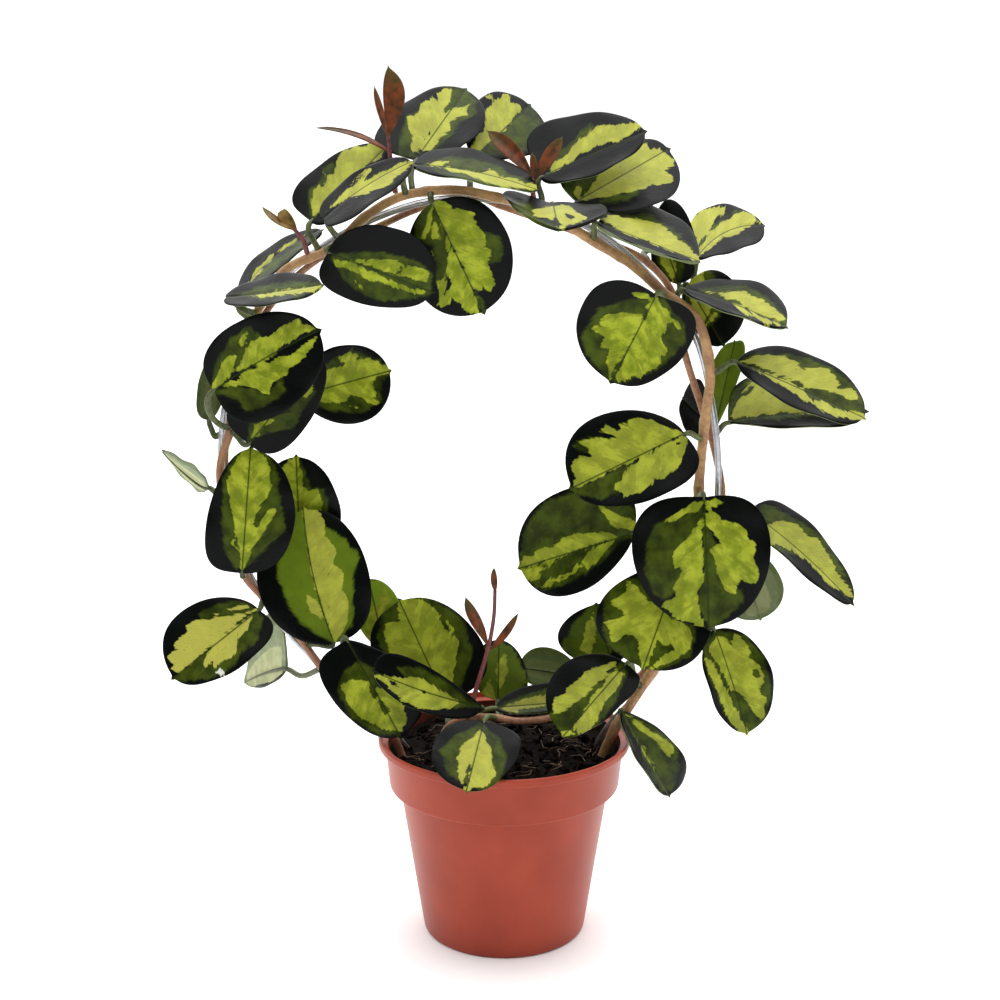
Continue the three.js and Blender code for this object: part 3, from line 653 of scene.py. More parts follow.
@dataclass(frozen=True)
class PotPlastic:
    """Injection-moulded polypropylene: an even satin skin with faint flow clouds, small dark specks and a
    fine orange-peel that breaks up the reflections."""

    name: str = "moulded_terracotta_polypropylene"
    light: str = "#a9442e"
    deep: str = "#993a26"
    speck: str = "#5f3226"
    cloud_mm: float = 30.0
    speck_mm: float = 1.4
    peel_mm: float = 0.9
    light_share: Ramp = Ramp(0.35, 0.65)
    speck_share: Ramp = Ramp(0.72, 0.76, end=0.6)
    dullness: Ramp = Ramp(start=0.3, end=0.46)
    relief_mm: float = 0.1
    relief_share: float = 0.18

    def build(self) -> bpy.types.Material:
        """Makes the material, with its clouds, specks and orange-peel on the object's coordinates."""
        material, tree, shader = new_material(self.name, IOR=1.49, Specular_IOR_Level=0.25)
        place = add_node(tree, "ShaderNodeTexCoord").outputs["Object"]
        cloud, dust, peel = (
            add_node(tree, "ShaderNodeTexNoise", {"Vector": place, "Scale": 1 / (size_mm * MM),
                                                  "Detail": detail}).outputs["Fac"]
            for size_mm, detail in ((self.cloud_mm, 4.0), (self.speck_mm, 2.0), (self.peel_mm, 1.0)))
        share = add_node(tree, "ShaderNodeMapRange", self.light_share.of(cloud)).outputs[0]
        colour = add_node(tree, "ShaderNodeMix", {0: share, 6: linear(self.deep), 7: linear(self.light)},
                          data_type="RGBA").outputs[2]
        specks = add_node(tree, "ShaderNodeMapRange", self.speck_share.of(dust)).outputs[0]
        colour = add_node(tree, "ShaderNodeMix", {0: specks, 6: colour, 7: linear(self.speck)},
                          data_type="RGBA").outputs[2]
        tree.links.new(colour, shader.inputs["Base Color"])
        bump = add_node(tree, "ShaderNodeBump", {"Strength": self.relief_share,
                                                 "Distance": self.relief_mm * MM, "Height": peel})
        tree.links.new(bump.outputs[0], shader.inputs["Normal"])
        rough = add_node(tree, "ShaderNodeMapRange", self.dullness.of(cloud)).outputs[0]
        tree.links.new(rough, shader.inputs["Roughness"])
        return material


@dataclass(frozen=True)
class PottingMix:
    """Damp peat and bark crumbs: dark brown and matt, with dry grains. The brown is made near-black partly as
    painted shade, so that the bed looks deep in the shaded pot.
    """

    name: str = "damp_peat_with_painted_shade"
    dark: str = "#060403"
    light: str = "#1d130c"
    grain_mm: float = 2.2
    dry_share: Ramp = Ramp(0.42, 0.68)
    relief_mm: float = 0.8
    relief_share: float = 0.9

    def build(self) -> bpy.types.Material:
        """Makes the material, with its grains on the object's coordinates."""
        material, tree, shader = new_material(self.name, Roughness=0.9, Specular_IOR_Level=0.05)
        place = add_node(tree, "ShaderNodeTexCoord").outputs["Object"]
        grains = add_node(tree, "ShaderNodeTexNoise", {
            "Vector": place, "Scale": 1 / (self.grain_mm * MM), "Detail": 5.0, "Roughness": 0.65,
        }).outputs["Fac"]
        share = add_node(tree, "ShaderNodeMapRange", self.dry_share.of(grains)).outputs[0]
        colour = add_node(tree, "ShaderNodeMix", {0: share, 6: linear(self.dark), 7: linear(self.light)},
                          data_type="RGBA").outputs[2]
        tree.links.new(colour, shader.inputs["Base Color"])
        bump = add_node(tree, "ShaderNodeBump", {"Strength": self.relief_share,
                                                 "Distance": self.relief_mm * MM, "Height": grains})
        tree.links.new(bump.outputs[0], shader.inputs["Normal"])
        return material


@dataclass(frozen=True)
class GalvanisedWire:
    """Drawn and galvanised steel wire: bright grey metal whose shine is broken by dull patches."""

    bright: str = "#c3c5c9"
    dull: str = "#8f9196"
    patch_mm: float = 3.0
    dullness: Ramp = Ramp(start=0.16, end=0.46)

    def build(self) -> bpy.types.Material:
        """Makes the material, with its patches on the object's coordinates."""
        material, tree, shader = new_material("galvanised_steel_wire", Metallic=1.0)
        place = add_node(tree, "ShaderNodeTexCoord").outputs["Object"]
        patches = add_node(tree, "ShaderNodeTexNoise", {
            "Vector": place, "Scale": 1 / (self.patch_mm * MM), "Detail": 3.0}).outputs["Fac"]
        rough = add_node(tree, "ShaderNodeMapRange", self.dullness.of(patches)).outputs[0]
        tree.links.new(rough, shader.inputs["Roughness"])
        colour = add_node(tree, "ShaderNodeMix", {0: patches, 6: linear(self.bright), 7: linear(self.dull)},
                          data_type="RGBA").outputs[2]
        tree.links.new(colour, shader.inputs["Base Color"])
        return material


@dataclass
class Finishes:
    """Every finish of the plant and its pot, made once."""

    blade: bpy.types.Material = field(default_factory=lambda: LeafSkin().build())
    petiole: bpy.types.Material = field(default_factory=lambda: RodSkin(
        "green_petiole", "#2a3414", "#58602f", 0.5).build())
    # The thicker stem is tan and corky but still reddish near the soil, and the thinner one is browner.
    bark_a: bpy.types.Material = field(default_factory=lambda: RodSkin(
        "tan_corky_bark", "#916a46", "#b78e5e", 0.55, "#8d5c4a").build())
    bark_b: bpy.types.Material = field(default_factory=lambda: RodSkin(
        "brown_young_bark", "#84553f", "#aa7c58", 0.5).build())
    stalk: bpy.types.Material = field(default_factory=lambda: RodSkin(
        "red_young_stalk", "#4c1f28", "#7d3a34", 0.4).build())
    young: bpy.types.Material = field(default_factory=lambda: YoungSkin().build())
    young_olive: bpy.types.Material = field(default_factory=lambda: YoungSkin(
        "olive_young_leaf_tissue", "#8c6a2e", "#4f3a1a", "#6f6428").build())
    plastic: bpy.types.Material = field(default_factory=lambda: PotPlastic().build())
    # Painted shade: the wall inside the pot is coloured near-black red to stand in for the shade in the pot's
    # hollow.
    shaded_inner_plastic: bpy.types.Material = field(default_factory=lambda: PotPlastic(
        "painted_shade_inner_polypropylene", "#64291c", "#1c0f0a").build())
    # The peat and the chips are near-black partly as damp peat and partly as painted shade for the bed inside
    # the pot.
    peat: bpy.types.Material = field(default_factory=lambda: PottingMix().build())
    chip: bpy.types.Material = field(default_factory=lambda: PottingMix(
        "composted_bark_chips_with_painted_shade", "#050302", "#1d120a", 5.0).build())
    fibre: bpy.types.Material = field(default_factory=lambda: RodSkin(
        "dry_root_fibre", "#3a281b", "#7a6248", 0.8).build())
    wire: bpy.types.Material = field(default_factory=lambda: GalvanisedWire().build())


def inside_by(pixels: np.ndarray, outlines: Sequence[str], nothing: float = -30.0) -> np.ndarray:
    """Measures how far pixels lie inside the nearest of several outlines.

    Args:
        pixels: the array of x, y.
        outlines: closed outlines as text, "x,y x,y ...".
        nothing: the value where there is no outline.

    Returns:
        Pixels of depth inside, or of distance outside as a negative number.
    """
    best = np.full(pixels.shape[:-1], nothing)
    for text in outlines:
        start = np.array([pair.split(",") for pair in text.split()], float)
        step = np.roll(start, -1, axis=0) - start
        away = pixels[..., None, :] - start
        share = np.clip((away * step).sum(-1) / np.maximum((step ** 2).sum(-1), 1e-9), 0, 1)
        near = np.linalg.norm(away - share[..., None] * step, axis=-1).min(-1)
        above = start[:, 1] > pixels[..., None, 1]
        crossing = above != np.roll(above, -1, axis=-1)
        slope = np.where(step[:, 1] == 0, 1e-9, step[:, 1])
        at = start[:, 0] + (pixels[..., None, 1] - start[:, 1]) / slope * step[:, 0]
        within = (crossing & (pixels[..., None, 0] < at)).sum(-1) % 2 == 1
        best = np.maximum(best, np.where(within, near, -near))
    return best


@dataclass(frozen=True)
class LeafShape:
    """A blade as the view shows it. base, tip and mid lie on the midrib, and left and right are the widest
    points for someone who looks from base to tip. depth is how far the base is behind the hoop's plane, and
    lean how the blade falls back to the right and upwards. The petiole leaves the stem at node and may pass
    via. heart is how far each base lobe reaches back, under says that the underside shows, and cup and bow
    are how hollow the blade is across and along. lime, moss and dark are outlines of the markings: the pale
    patch, the mid-green round it and dark bites in the patch. dust is dried hard-water residue and glow how
    much light comes through the mid-green. Two shares paint light into the colour: painted sheen, which pales
    the patch where light falls on it, and painted shade, which darkens the leaf where it sits in shadow."""

    name: str
    base: Pixel
    tip: Pixel
    left: Pixel
    right: Pixel
    depth: float
    lean: Pair
    mid: Pixel | None = None
    node: Pixel = (0, 0)
    via: Place | None = None
    stem: Stem = Stem.EITHER
    heart: Pair = (0, 0)
    under: bool = False
    cup: float = 2.0
    bow: float = 1.5
    roundness: float = 0.47
    glow: float = 0.0
    # Painted light: the next two shares are painted sheen on the patch and painted shade over the leaf.
    painted_sheen: float = 0.0
    painted_shade: float = 0.0
    lime: tuple[str, ...] = ()
    moss: tuple[str, ...] = ()
    dark: tuple[str, ...] = ()
    dust: tuple[str, ...] = ()

    def midrib(self, t: np.ndarray) -> np.ndarray:
        """The midrib's pixels at shares t of its length."""
        base, tip = np.array(self.base, float), np.array(self.tip, float)
        mid = (base + tip) / 2 if self.mid is None else np.array(self.mid, float)
        t = np.asarray(t, float)[..., None]
        return base * (1 - t) * (1 - 2 * t) + mid * 4 * t * (1 - t) + tip * t * (2 * t - 1)

    def edge(self, corner: Pixel) -> tuple[float, np.ndarray]:
        """How far along the leaf an edge point lies, and how far it is from the midrib there."""
        along = np.array(self.tip, float) - self.base
        share = float(np.dot(np.array(corner, float) - self.base, along) / np.dot(along, along))
        share = min(max(share, WIDEST_RANGE[0]), WIDEST_RANGE[1])
        return share, np.array(corner, float) - self.midrib(share)

    def surface(self, s: np.ndarray, t: np.ndarray) -> tuple[np.ndarray, np.ndarray]:
        """Gives the middle surface of the blade.

        Args:
            s: from the left edge (-1) over the midrib (0) to the right edge (1).
            t: from base (0) to tip (1).

        Returns:
            The points in millimetres and their pixels.
        """
        left_at, left = self.edge(self.left)
        right_at, right = self.edge(self.right)
        widest = np.where(s < 0, left_at, right_at)
        body = np.clip(t / BODY_END, 0, 1) ** (math.log(0.5) / np.log(widest))
        width = np.maximum(np.maximum(4 * body * (1 - body), 0) ** self.roundness,
                           np.where(t > TIP_START, TIP_SLOPE * (1 - t), 0))
        chord = np.array(self.tip, float) - self.base
        lobe = np.where(s < 0, self.heart[0], self.heart[1]) * np.abs(s) * (1 - t) ** 2
        offset = (0.5 * (right - left) * s[..., None] + 0.5 * (right + left) * (s ** 2)[..., None]
                  - chord * lobe[..., None])
        pixels = self.midrib(t) + width[..., None] * offset
        flat = VIEW.on_plane(pixels, VIEW.at_depth((*self.base, self.depth)), self.lean)
        rise = self.cup * (width * s) ** 2 + self.bow * 4 * t * (1 - t)
        return flat - VIEW.rays(pixels) * rise[..., None], pixels


@dataclass(frozen=True)
class YoungShape(LeafShape):
    """A young leaf: a narrow blade without markings."""

    cup: float = 1.0
    bow: float = 0.5
    roundness: float = 0.85


# Runs of the hoop and the two stems, from the soil on the left over the top to the soil on the right.
WIRE_RUN: tuple[Place, ...] = (
    (420, 806, 2), (414, 760, 2), (384, 722, 1), (326, 672, 0), (264, 602, 0), (234, 530, 0), (222, 450, 0),
    (236, 360, 0), (272, 290, 0), (323, 246, 0), (386, 214, 0), (450, 199, 0), (530, 206, 0), (600, 233, 0),
    (656, 282, 0), (694, 335, 0), (711, 402, 0), (718, 470, 0), (712, 545, 0), (690, 615, 0), (650, 680, 1),
    (606, 728, 2), (590, 762, 2), (586, 806, 2),
)
STEM_A_RUN: tuple[Place, ...] = (
    (418, 788, -8), (404, 762, -7), (394, 737, -7), (374, 718, -7), (350, 700, -6), (322, 668, -5),
    (293, 629, -5), (263, 597, -5), (245, 576, -5), (227, 522, -5), (220, 468, -5), (229, 434, -5),
    (240, 370, -5), (258, 310, -5), (284, 271, -5), (335, 246, -5), (360, 221, -5), (400, 197, -5),
    (455, 190, -5), (500, 198, -5), (546, 208, -5), (583, 235, -5), (631, 264, -5), (664, 293, -5),
    (696, 318, -5), (710, 370, -5), (705, 420, -5), (701, 460, -5), (698, 500, -5), (694, 560, -5),
    (676, 630, -5), (640, 690, -5), (614, 730, -7), (599, 765, -8), (590, 788, -8),
)
STEM_B_RUN: tuple[Place, ...] = (
    (446, 796, 0), (440, 752, 0), (450, 725, -4), (486, 717, -10), (520, 721, -10), (560, 716, -7),
    (612, 700, 0), (662, 650, 6), (706, 580, 6), (722, 500, 5), (712, 440, 5), (694, 384, 5), (684, 350, 5),
    (674, 296, 5), (647, 262, 5), (609, 243, 5), (560, 226, 5), (510, 209, 5), (470, 196, 5), (430, 204, 5),
    (386, 223, 5), (340, 246, 5), (299, 274, 5), (266, 312, 5), (240, 360, 5), (228, 420, 5), (226, 480, 5),
    (236, 545, 5), (266, 600, 5), (300, 640, 4),
)

# The leaves, from the top left round to the right and the bottom. Some are given painted sheen, which
# pales their patch, and painted shade, which darkens them where they sit in shadow.
LEAVES: tuple[LeafShape, ...] = (
    LeafShape(
        "01", base=(416, 160), tip=(467, 88), left=(384, 120), right=(482, 128), depth=6, lean=(-0.12, 1.2),
        node=(412, 195), heart=(0.12, 0.12),
        lime=(
            "408,119 416,116 422,104 431,99 438,102 437,95 445,91 452,91 450,101 444,111 434,124 426,138 "
            "420,152 413,156 411,142 409,128",
            "420,154 430,152 440,139 450,132 450,124 461,118 468,115 466,110 471,105 462,108 451,110 "
            "442,116 434,127 427,139",
        ),
        moss=(
            "399,156 402,131 408,118 418,112 415,158",
            "448,90 466,90 475,100 476,114 462,122 450,136 432,152 440,112",
        ),
    ),
    LeafShape(
        "02", base=(474, 158), tip=(531, 104), left=(478, 100), right=(543, 146), depth=12, lean=(0.38, 1.15),
        node=(470, 190),
        lime=(
            "484,112 496,101 503,95 511,95 511,103 519,106 522,110 513,118 510,126 503,131 497,139 489,144 "
            "482,150 467,152 474,141 483,133 485,122",
            "484,96 490,96 492,101 487,99",
        ),
        moss=("522,110 513,118 503,133 484,150 476,156 516,152 532,148 541,124 532,112",),
    ),
    LeafShape(
        "03", base=(311, 221), tip=(388, 146), left=(309, 173), right=(370, 196), depth=0, lean=(-0.2, 1),
        node=(316, 249), stem=Stem.FIRST, heart=(0.06, 0.06),
        lime=(
            "335,175 336,163 340,157 344,151 351,150 355,147 366,147 376,143 384,150 381,160 370,163 "
            "360,173 349,183 340,194 331,205 322,212 312,219 315,208 320,200 327,192 328,180 322,172 "
            "327,176",
            "312,203 314,190 320,183 323,190 322,198 317,210 312,214",
        ),
        moss=("308,212 311,192 321,180 323,170 331,164 337,166 335,176 328,182 328,195 318,208 311,221",),
    ),
    LeafShape(
        "04", base=(325, 219), tip=(415, 161), left=(358, 171), right=(375, 203), depth=-16, lean=(-1, 1.5),
        mid=(366, 187), node=(342, 240), via=(330, 228, -16), stem=Stem.FIRST, heart=(0.14, 0.14),
        lime=(
            "331,209 337,200 345,192 352,185 360,176 369,169 373,171 365,180 378,174 392,169 404,163 "
            "416,160 414,166 403,172 396,178 385,189 370,194 350,199 338,205",
        ),
        moss=(
            "333,204 350,190 356,186 346,200",
            "375,190 390,185 396,178 380,186",
        ),
        dark=(
            "350,188 356,181 364,174 358,182 352,189",
            "366,181 372,176 378,172 371,179",
        ),
    ),
    LeafShape(
        "05", base=(414, 166), tip=(541, 192), left=(470, 149), right=(470, 181), depth=-16, lean=(0.4, 2),
        mid=(472, 172), node=(406, 196),
        lime=(
            "448,168 455,170 470,171 482,174 490,171 500,176 512,179 525,184 539,187 540,190 520,190 "
            "505,188 490,184 475,178 455,173 440,169",
            "428,165 436,163 448,163 440,167 430,167",
        ),
        moss=("422,167 445,159 470,160 499,168 508,175 540,188 520,193 480,186 440,172",),
    ),
    LeafShape(
        "06", base=(241, 296), tip=(325, 229), left=(252, 261), right=(283, 266), depth=2, lean=(-1.3, 1.9),
        mid=(274, 258), node=(252, 318), via=(238, 308, -1),
        lime=(
            "243,293 250,281 256,270 262,265 270,258 274,256 270,262 262,270 255,281 247,292",
            "272,257 285,247 295,241 306,236 297,243 283,251",
        ),
        moss=("249,290 272,264 300,244 320,233 302,248 282,264 262,280",),
    ),
    LeafShape(
        "07", base=(226, 298), tip=(325, 285), left=(285, 273), right=(275, 304), depth=-14, lean=(-0.9, 2.4),
        mid=(280, 292), node=(254, 314), via=(242, 308, -12), heart=(0.1, 0.1),
        lime=("250,297 270,294 284,291 300,289 318,287 324,285 314,292 300,295 285,297 270,299",),
        moss=("240,296 260,289 290,283 324,285 300,297 262,300",),
    ),
    LeafShape(
        "08", base=(328, 252), tip=(436, 293), left=(405, 231), right=(352, 301), depth=-16,
        lean=(-0.1, -0.3), node=(336, 245), heart=(0.06, 0.06),
        lime=(
            "350,261 370,259 386,258 397,261 402,264 412,266 428,270 428,276 427,282 416,279 403,276 "
            "390,272 376,267",
            "334,258 342,260 352,262 366,269 380,275 395,281 410,287 426,291 418,294 405,291 390,285 "
            "380,280 372,280 362,276 354,269 345,267 338,266",
            "355,280 361,285 366,292 360,288",
        ),
        moss=("332,257 345,253 380,252 420,262 432,275 430,292 410,298 385,300 365,295 350,283 343,270",),
        dark=("396,271 404,266 410,264 404,270 399,274",),
    ),
    LeafShape(
        "09", base=(432, 203), tip=(485, 315), left=(507, 232), right=(415, 286), depth=-11, lean=(0, -0.1),
        node=(432, 190),
        lime=(
            "433,203 438,200 446,201 452,209 466,210 474,214 472,219 480,226 484,235 486,240 484,246 "
            "490,250 492,254 485,258 490,268 494,278 495,284 490,293 484,286 481,281 483,290 478,294 "
            "474,288 466,270 458,256 450,240 444,228 438,216",
            "436,208 443,226 449,240 456,254 464,270 472,286 476,298 478,309 483,315 472,313 464,311 "
            "460,303 452,298 450,290 452,283 448,278 445,272 447,262 448,252 446,240 441,228",
            "433,208 431,222 429,232 424,240 420,239 426,226 429,214",
            "433,220 438,222 440,239 432,240 429,236",
            "437,282 446,275 447,286 443,294 446,298 444,305 438,306 440,294",
            "445,291 450,288 452,298 450,305 445,304",
            "429,249 433,247 434,256 431,254",
        ),
        moss=(
            "415,225 425,206 436,204 446,236 448,256 446,276 437,284 436,262 432,246 418,238",
            "482,232 500,236 503,250 498,260 488,262",
            "474,288 482,300 484,312 478,306",
        ),
    ),
    LeafShape(
        "10", base=(541, 177), tip=(648, 131), left=(549, 121), right=(606, 170), depth=0, lean=(-0.15, 1.1),
        node=(541, 206), heart=(0.04, 0.04),
        lime=(
            "545,176 555,163 566,157 572,148 580,141 588,134 592,128 598,126 612,126 625,125 634,123 "
            "645,124 640,128 634,133 629,138 622,141 608,144 595,149 582,154 572,162 560,169",
        ),
        moss=("550,170 560,152 575,142 590,126 600,124 590,140 570,158",),
    ),
    LeafShape(
        "11", base=(577, 202), tip=(671, 148), left=(588, 152), right=(668, 199), depth=4, lean=(0, 1.3),
        node=(575, 232), stem=Stem.SECOND, heart=(0.12, 0.12),
        lime=(
            "578,200 590,192 595,182 599,170 608,160 622,155 633,148 645,144 650,149 660,151 667,156 "
            "674,160 675,167 664,171 673,177 671,183 662,186 652,186 642,191 625,194 600,199 585,202",
            "573,194 578,184 581,191 578,200",
        ),
        moss=(
            "568,200 564,178 580,168 598,160 622,148 614,166 598,184 590,198 575,204",
            "600,199 640,192 630,200 600,204",
        ),
    ),
    LeafShape(
        "12", base=(553, 204), tip=(559, 231), left=(608, 210), right=(503, 195), depth=-10, lean=(0.6, 3.2),
        mid=(556, 219), node=(548, 210),
        lime=(
            "532,211 545,208 560,207 572,209 577,214 581,217 586,219 580,223 570,226 562,230 556,228 "
            "555,222 548,221 540,218 533,217",
        ),
        moss=("510,200 530,206 534,212 536,220 556,228 545,227 520,215",),
        dark=(
            "553,216 558,220 562,228 557,229 553,222",
            "566,214 574,218 570,221 564,218",
        ),
    ),
    LeafShape(
        "13", base=(598, 223), tip=(701, 263), left=(662, 209), right=(640, 246), depth=-12, lean=(0.6, 1.9),
        node=(592, 238), stem=Stem.FIRST,
        lime=(
            "600,221 608,217 618,214 622,219 636,220 650,222 660,226 668,232 676,238 686,246 698,258 "
            "700,263 684,257 672,252 655,246 640,240 624,235 612,227",
        ),
        moss=("616,214 650,218 670,229 690,248 700,261 680,242 650,226",),
    ),
    LeafShape(
        "14", base=(697, 258), tip=(766, 226), left=(700, 211), right=(745, 248), depth=26, lean=(0.2, 1.8),
        mid=(727, 232), node=(682, 338), via=(689, 306, 22), stem=Stem.SECOND,
        lime=(
            "686,212 692,211 698,217 699,210 711,207 725,208 724,215 715,220 710,230 703,238 696,248 "
            "692,240 690,228",
            "696,252 706,240 712,231 722,223 732,217 744,212 752,216 760,222 752,226 745,230 738,236 "
            "722,240 713,246 706,253 698,258",
        ),
        moss=("696,250 712,226 735,213 742,212 722,222 704,244",),
    ),
    LeafShape(
        "15", base=(650, 250), tip=(697, 238), left=(669, 199), right=(676, 262), depth=22, lean=(-0.1, 0.5),
        node=(647, 262), stem=Stem.SECOND,
    ),
    LeafShape(
        "16", base=(679, 284), tip=(662, 238), left=(652, 262), right=(693, 262), depth=11, lean=(-0.1, 0.3),
        node=(674, 297), stem=Stem.SECOND,
        lime=("658,250 668,248 673,256 676,264 675,274 673,285 668,275 662,264",),
        moss=("654,250 680,248 684,268 676,284 664,276",),
    ),
    LeafShape(
        "17", base=(688, 285), tip=(724, 347), left=(742, 294), right=(692, 326), depth=15.5, lean=(0, 0.3),
        node=(687, 330), stem=Stem.SECOND, heart=(0.24, 0), painted_sheen=0.3,
        lime=(
            "684,288 694,266 700,264 706,268 703,277 706,284 700,290 690,290",
            "688,293 695,295 706,299 716,303 712,308 707,316 704,323 697,318 692,306",
            "703,328 709,318 722,307 718,314 709,325",
        ),
        moss=("684,284 700,262 712,272 726,296 724,310 706,330 692,316",),
    ),
    LeafShape(
        "18", base=(684, 289), tip=(789, 329), left=(764, 285), right=(730, 313), depth=-3, lean=(0.6, 1.9),
        mid=(737, 306), node=(674, 300),
        lime=(
            "703,292 716,294 735,292 745,293 752,298 762,300 768,305 775,310 782,316 784,320 778,321 "
            "765,318 755,313 745,308 735,302 722,297",
            "725,300 738,305 755,316 770,321 787,327 775,327 755,320 740,311",
        ),
        moss=("700,291 720,289 745,288 768,300 782,314 788,326 770,324 740,308",),
    ),
    LeafShape(
        "19", base=(656, 295), tip=(610, 384), left=(688, 350), right=(580, 308), depth=-16, lean=(0, -0.5),
        node=(664, 294), heart=(0.1, 0.1),
        lime=(
            "651,298 658,296 663,306 670,312 668,322 665,330 662,335 664,343 668,347 667,354 660,356 "
            "660,363 653,368 646,372 640,378 634,376 630,378 618,381 616,374 622,364 627,352 632,340 "
            "640,326 647,312",
            "649,303 641,322 632,338 622,352 618,362 612,372 610,380 608,366 605,360 610,352 611,345 "
            "601,346 600,342 604,336 601,331 591,330 593,326 600,326 608,327 600,320 606,314 618,312 "
            "632,312 643,312",
            "588,347 594,341 593,347",
            "632,292 645,294 650,297 640,297",
            "672,319 679,321 681,327 677,329",
        ),
        moss=(
            "582,336 598,308 625,300 650,300 664,298 672,312 684,322 684,340 672,356 650,372 618,382 "
            "606,374 592,360 584,346",
        ),
        dark=(
            "641,324 645,314 649,306 646,316 642,325",
            "622,352 627,344 631,338 626,348 622,356",
        ),
    ),
    LeafShape(
        "20", base=(714, 430), tip=(735, 339), left=(706, 382), right=(744, 360), depth=22, lean=(0.5, 0.2),
        node=(708, 452), via=(712, 440, 16), stem=Stem.SECOND, glow=0.25, painted_sheen=0.2,
        moss=("690,332 752,332 752,440 690,440",),
    ),
    LeafShape(
        "21", base=(737, 362), tip=(867, 420), left=(818, 357), right=(803, 411), depth=-4, lean=(0.58, 1.3),
        mid=(799, 389), node=(710, 374),
        lime=(
            "740,362 755,357 768,355 785,357 797,363 804,368 812,370 822,368 830,373 837,380 840,385 "
            "832,388 840,390 850,389 857,393 857,399 850,401 840,396 825,390 805,387 790,380 772,373 "
            "755,367",
            "745,364 770,375 790,382 803,391 812,400 825,404 840,411 855,412 862,414 868,420 850,420 "
            "835,417 820,410 806,403 795,394 780,386 766,378",
        ),
        moss=("738,362 760,354 790,356 825,366 855,388 866,412 850,414 812,402 790,384",),
        dark=("787,369 800,369 806,371 790,371",),
    ),
    LeafShape(
        "22", base=(728, 422), tip=(870, 412), left=(767, 374), right=(825, 427), depth=7, lean=(-0.1, 1.5),
        mid=(795, 414), node=(712, 438), stem=Stem.SECOND,
        lime=(
            "731,418 737,402 745,388 757,380 772,376 790,380 810,390 830,402 845,412 820,416 800,414 "
            "775,414 760,416 740,419",
        ),
        moss=("722,418 732,394 750,380 790,372 830,395 860,412 740,422",),
        dark=("745,396 750,389 756,386 750,394",),
    ),
    LeafShape(
        "23", base=(712, 425), tip=(682, 397), left=(690, 436), right=(700, 380), depth=14, lean=(-0.8, 0),
        node=(706, 420), stem=Stem.SECOND,
    ),
    LeafShape(
        "24", base=(684, 434), tip=(568, 490), left=(662, 496), right=(589, 420), depth=-14, lean=(0.06, 0.5),
        node=(703, 438), heart=(0.1, 0.1),
        lime=(
            "684,434 670,440 655,449 640,456 628,463 615,469 600,477 588,483 575,488 572,484 575,478 "
            "571,470 572,462 577,458 590,457 587,448 580,445 577,441 590,440 605,439 618,438 605,434 "
            "599,430 603,424 610,424 614,429 620,431 618,424 624,424 630,427 628,421 633,418 645,420 "
            "652,420 660,425 672,430",
            "687,437 688,442 686,452 682,456 681,463 675,470 668,475 664,481 655,479 651,486 645,490 "
            "636,494 624,499 623,493 612,490 615,483 622,481 622,474 632,468 640,460 655,450 668,443 "
            "680,436",
        ),
        moss=(
            "568,488 590,484 612,472 636,460 626,478 616,486 618,494 600,498 580,494",
            "575,446 582,440 620,440 586,452",
        ),
        dark=("676,444 680,440 681,443 678,446",),
    ),
    LeafShape(
        "25", base=(634, 533), tip=(517, 569), left=(572, 595), right=(557, 492), depth=8, lean=(-0.25, 0.15),
        node=(694, 545), heart=(0, 0.3),
        lime=(
            "616,535 600,533 590,532 575,534 562,538 560,544 545,547 538,549 533,554 525,557 518,568 "
            "535,564 550,560 565,555 580,549 600,542 612,538",
            "618,537 610,545 605,552 598,562 590,568 584,571 583,566 575,572 565,578 555,584 550,587 "
            "541,587 548,581 558,577 572,570 580,562 588,552 600,545",
            "517,569 535,567 552,562 560,559 548,566 541,572 540,578 533,582 528,581 527,577 520,572",
            "598,505 608,509 615,513 625,516 640,521 640,527 630,530 620,529 610,525 606,517",
        ),
        moss=(
            "530,520 548,500 575,494 605,500 645,512 645,532 620,540 600,562 575,580 545,590 524,578 "
            "520,560 524,540",
        ),
    ),
    LeafShape(
        "26", base=(704, 497), tip=(709, 631), left=(771, 550), right=(632, 553), depth=-16, lean=(0, 0.1),
        node=(698, 494), heart=(0.05, 0.05),
        lime=(
            "698,511 696,523 691,531 686,539 677,546 672,554 674,566 681,567 681,575 677,580 674,590 "
            "676,596 665,601 661,606 668,611 674,617 685,620 692,623 699,627 706,630 702,618 699,605 "
            "698,592 699,586 703,580 704,565 702,545 701,525",
            "701,501 690,504 680,511 668,518 664,521 675,520 686,515 694,511 700,506",
            "705,510 714,513 722,519 732,522 741,526 746,530 747,541 753,541 756,547 753,556 758,566 "
            "759,577 755,584 748,582 742,579 737,583 736,592 733,594 727,590 722,580 717,570 714,558 "
            "711,546 721,544 716,537 710,530 705,524",
            "704,500 716,496 724,503 718,508 708,508",
        ),
        moss=(
            "655,525 690,513 702,508 694,540 676,552 676,568 684,572 676,592 662,600 652,590 646,570 "
            "648,545",
            "703,512 712,535 718,560 730,590 742,590 742,602 726,616 710,629 700,608 698,590 704,570",
        ),
    ),
    LeafShape(
        "27", base=(748, 512), tip=(855, 607), left=(800, 514), right=(795, 567), depth=4, lean=(1, 1.2),
        mid=(800, 552), node=(719, 500),
        lime=(
            "758,527 767,526 775,523 783,521 790,523 797,525 803,534 812,539 818,539 822,547 828,555 "
            "833,566 837,575 843,581 848,588 854,598 848,598 840,590 833,590 826,582 818,574 810,565 "
            "800,557 790,551 778,547 766,544",
        ),
        moss=("756,524 762,506 782,512 800,524 826,540 842,572 850,590 856,603 840,590 800,556 760,548",),
    ),
    LeafShape(
        "28", base=(738, 545), tip=(761, 621), left=(783, 583), right=(722, 600), depth=14, lean=(0, -0.4),
        node=(716, 540), under=True, painted_shade=0.62,
    ),
    LeafShape(
        "29", base=(680, 565), tip=(642, 671), left=(708, 640), right=(597, 610), depth=-8, lean=(0, 0.3),
        node=(690, 575),
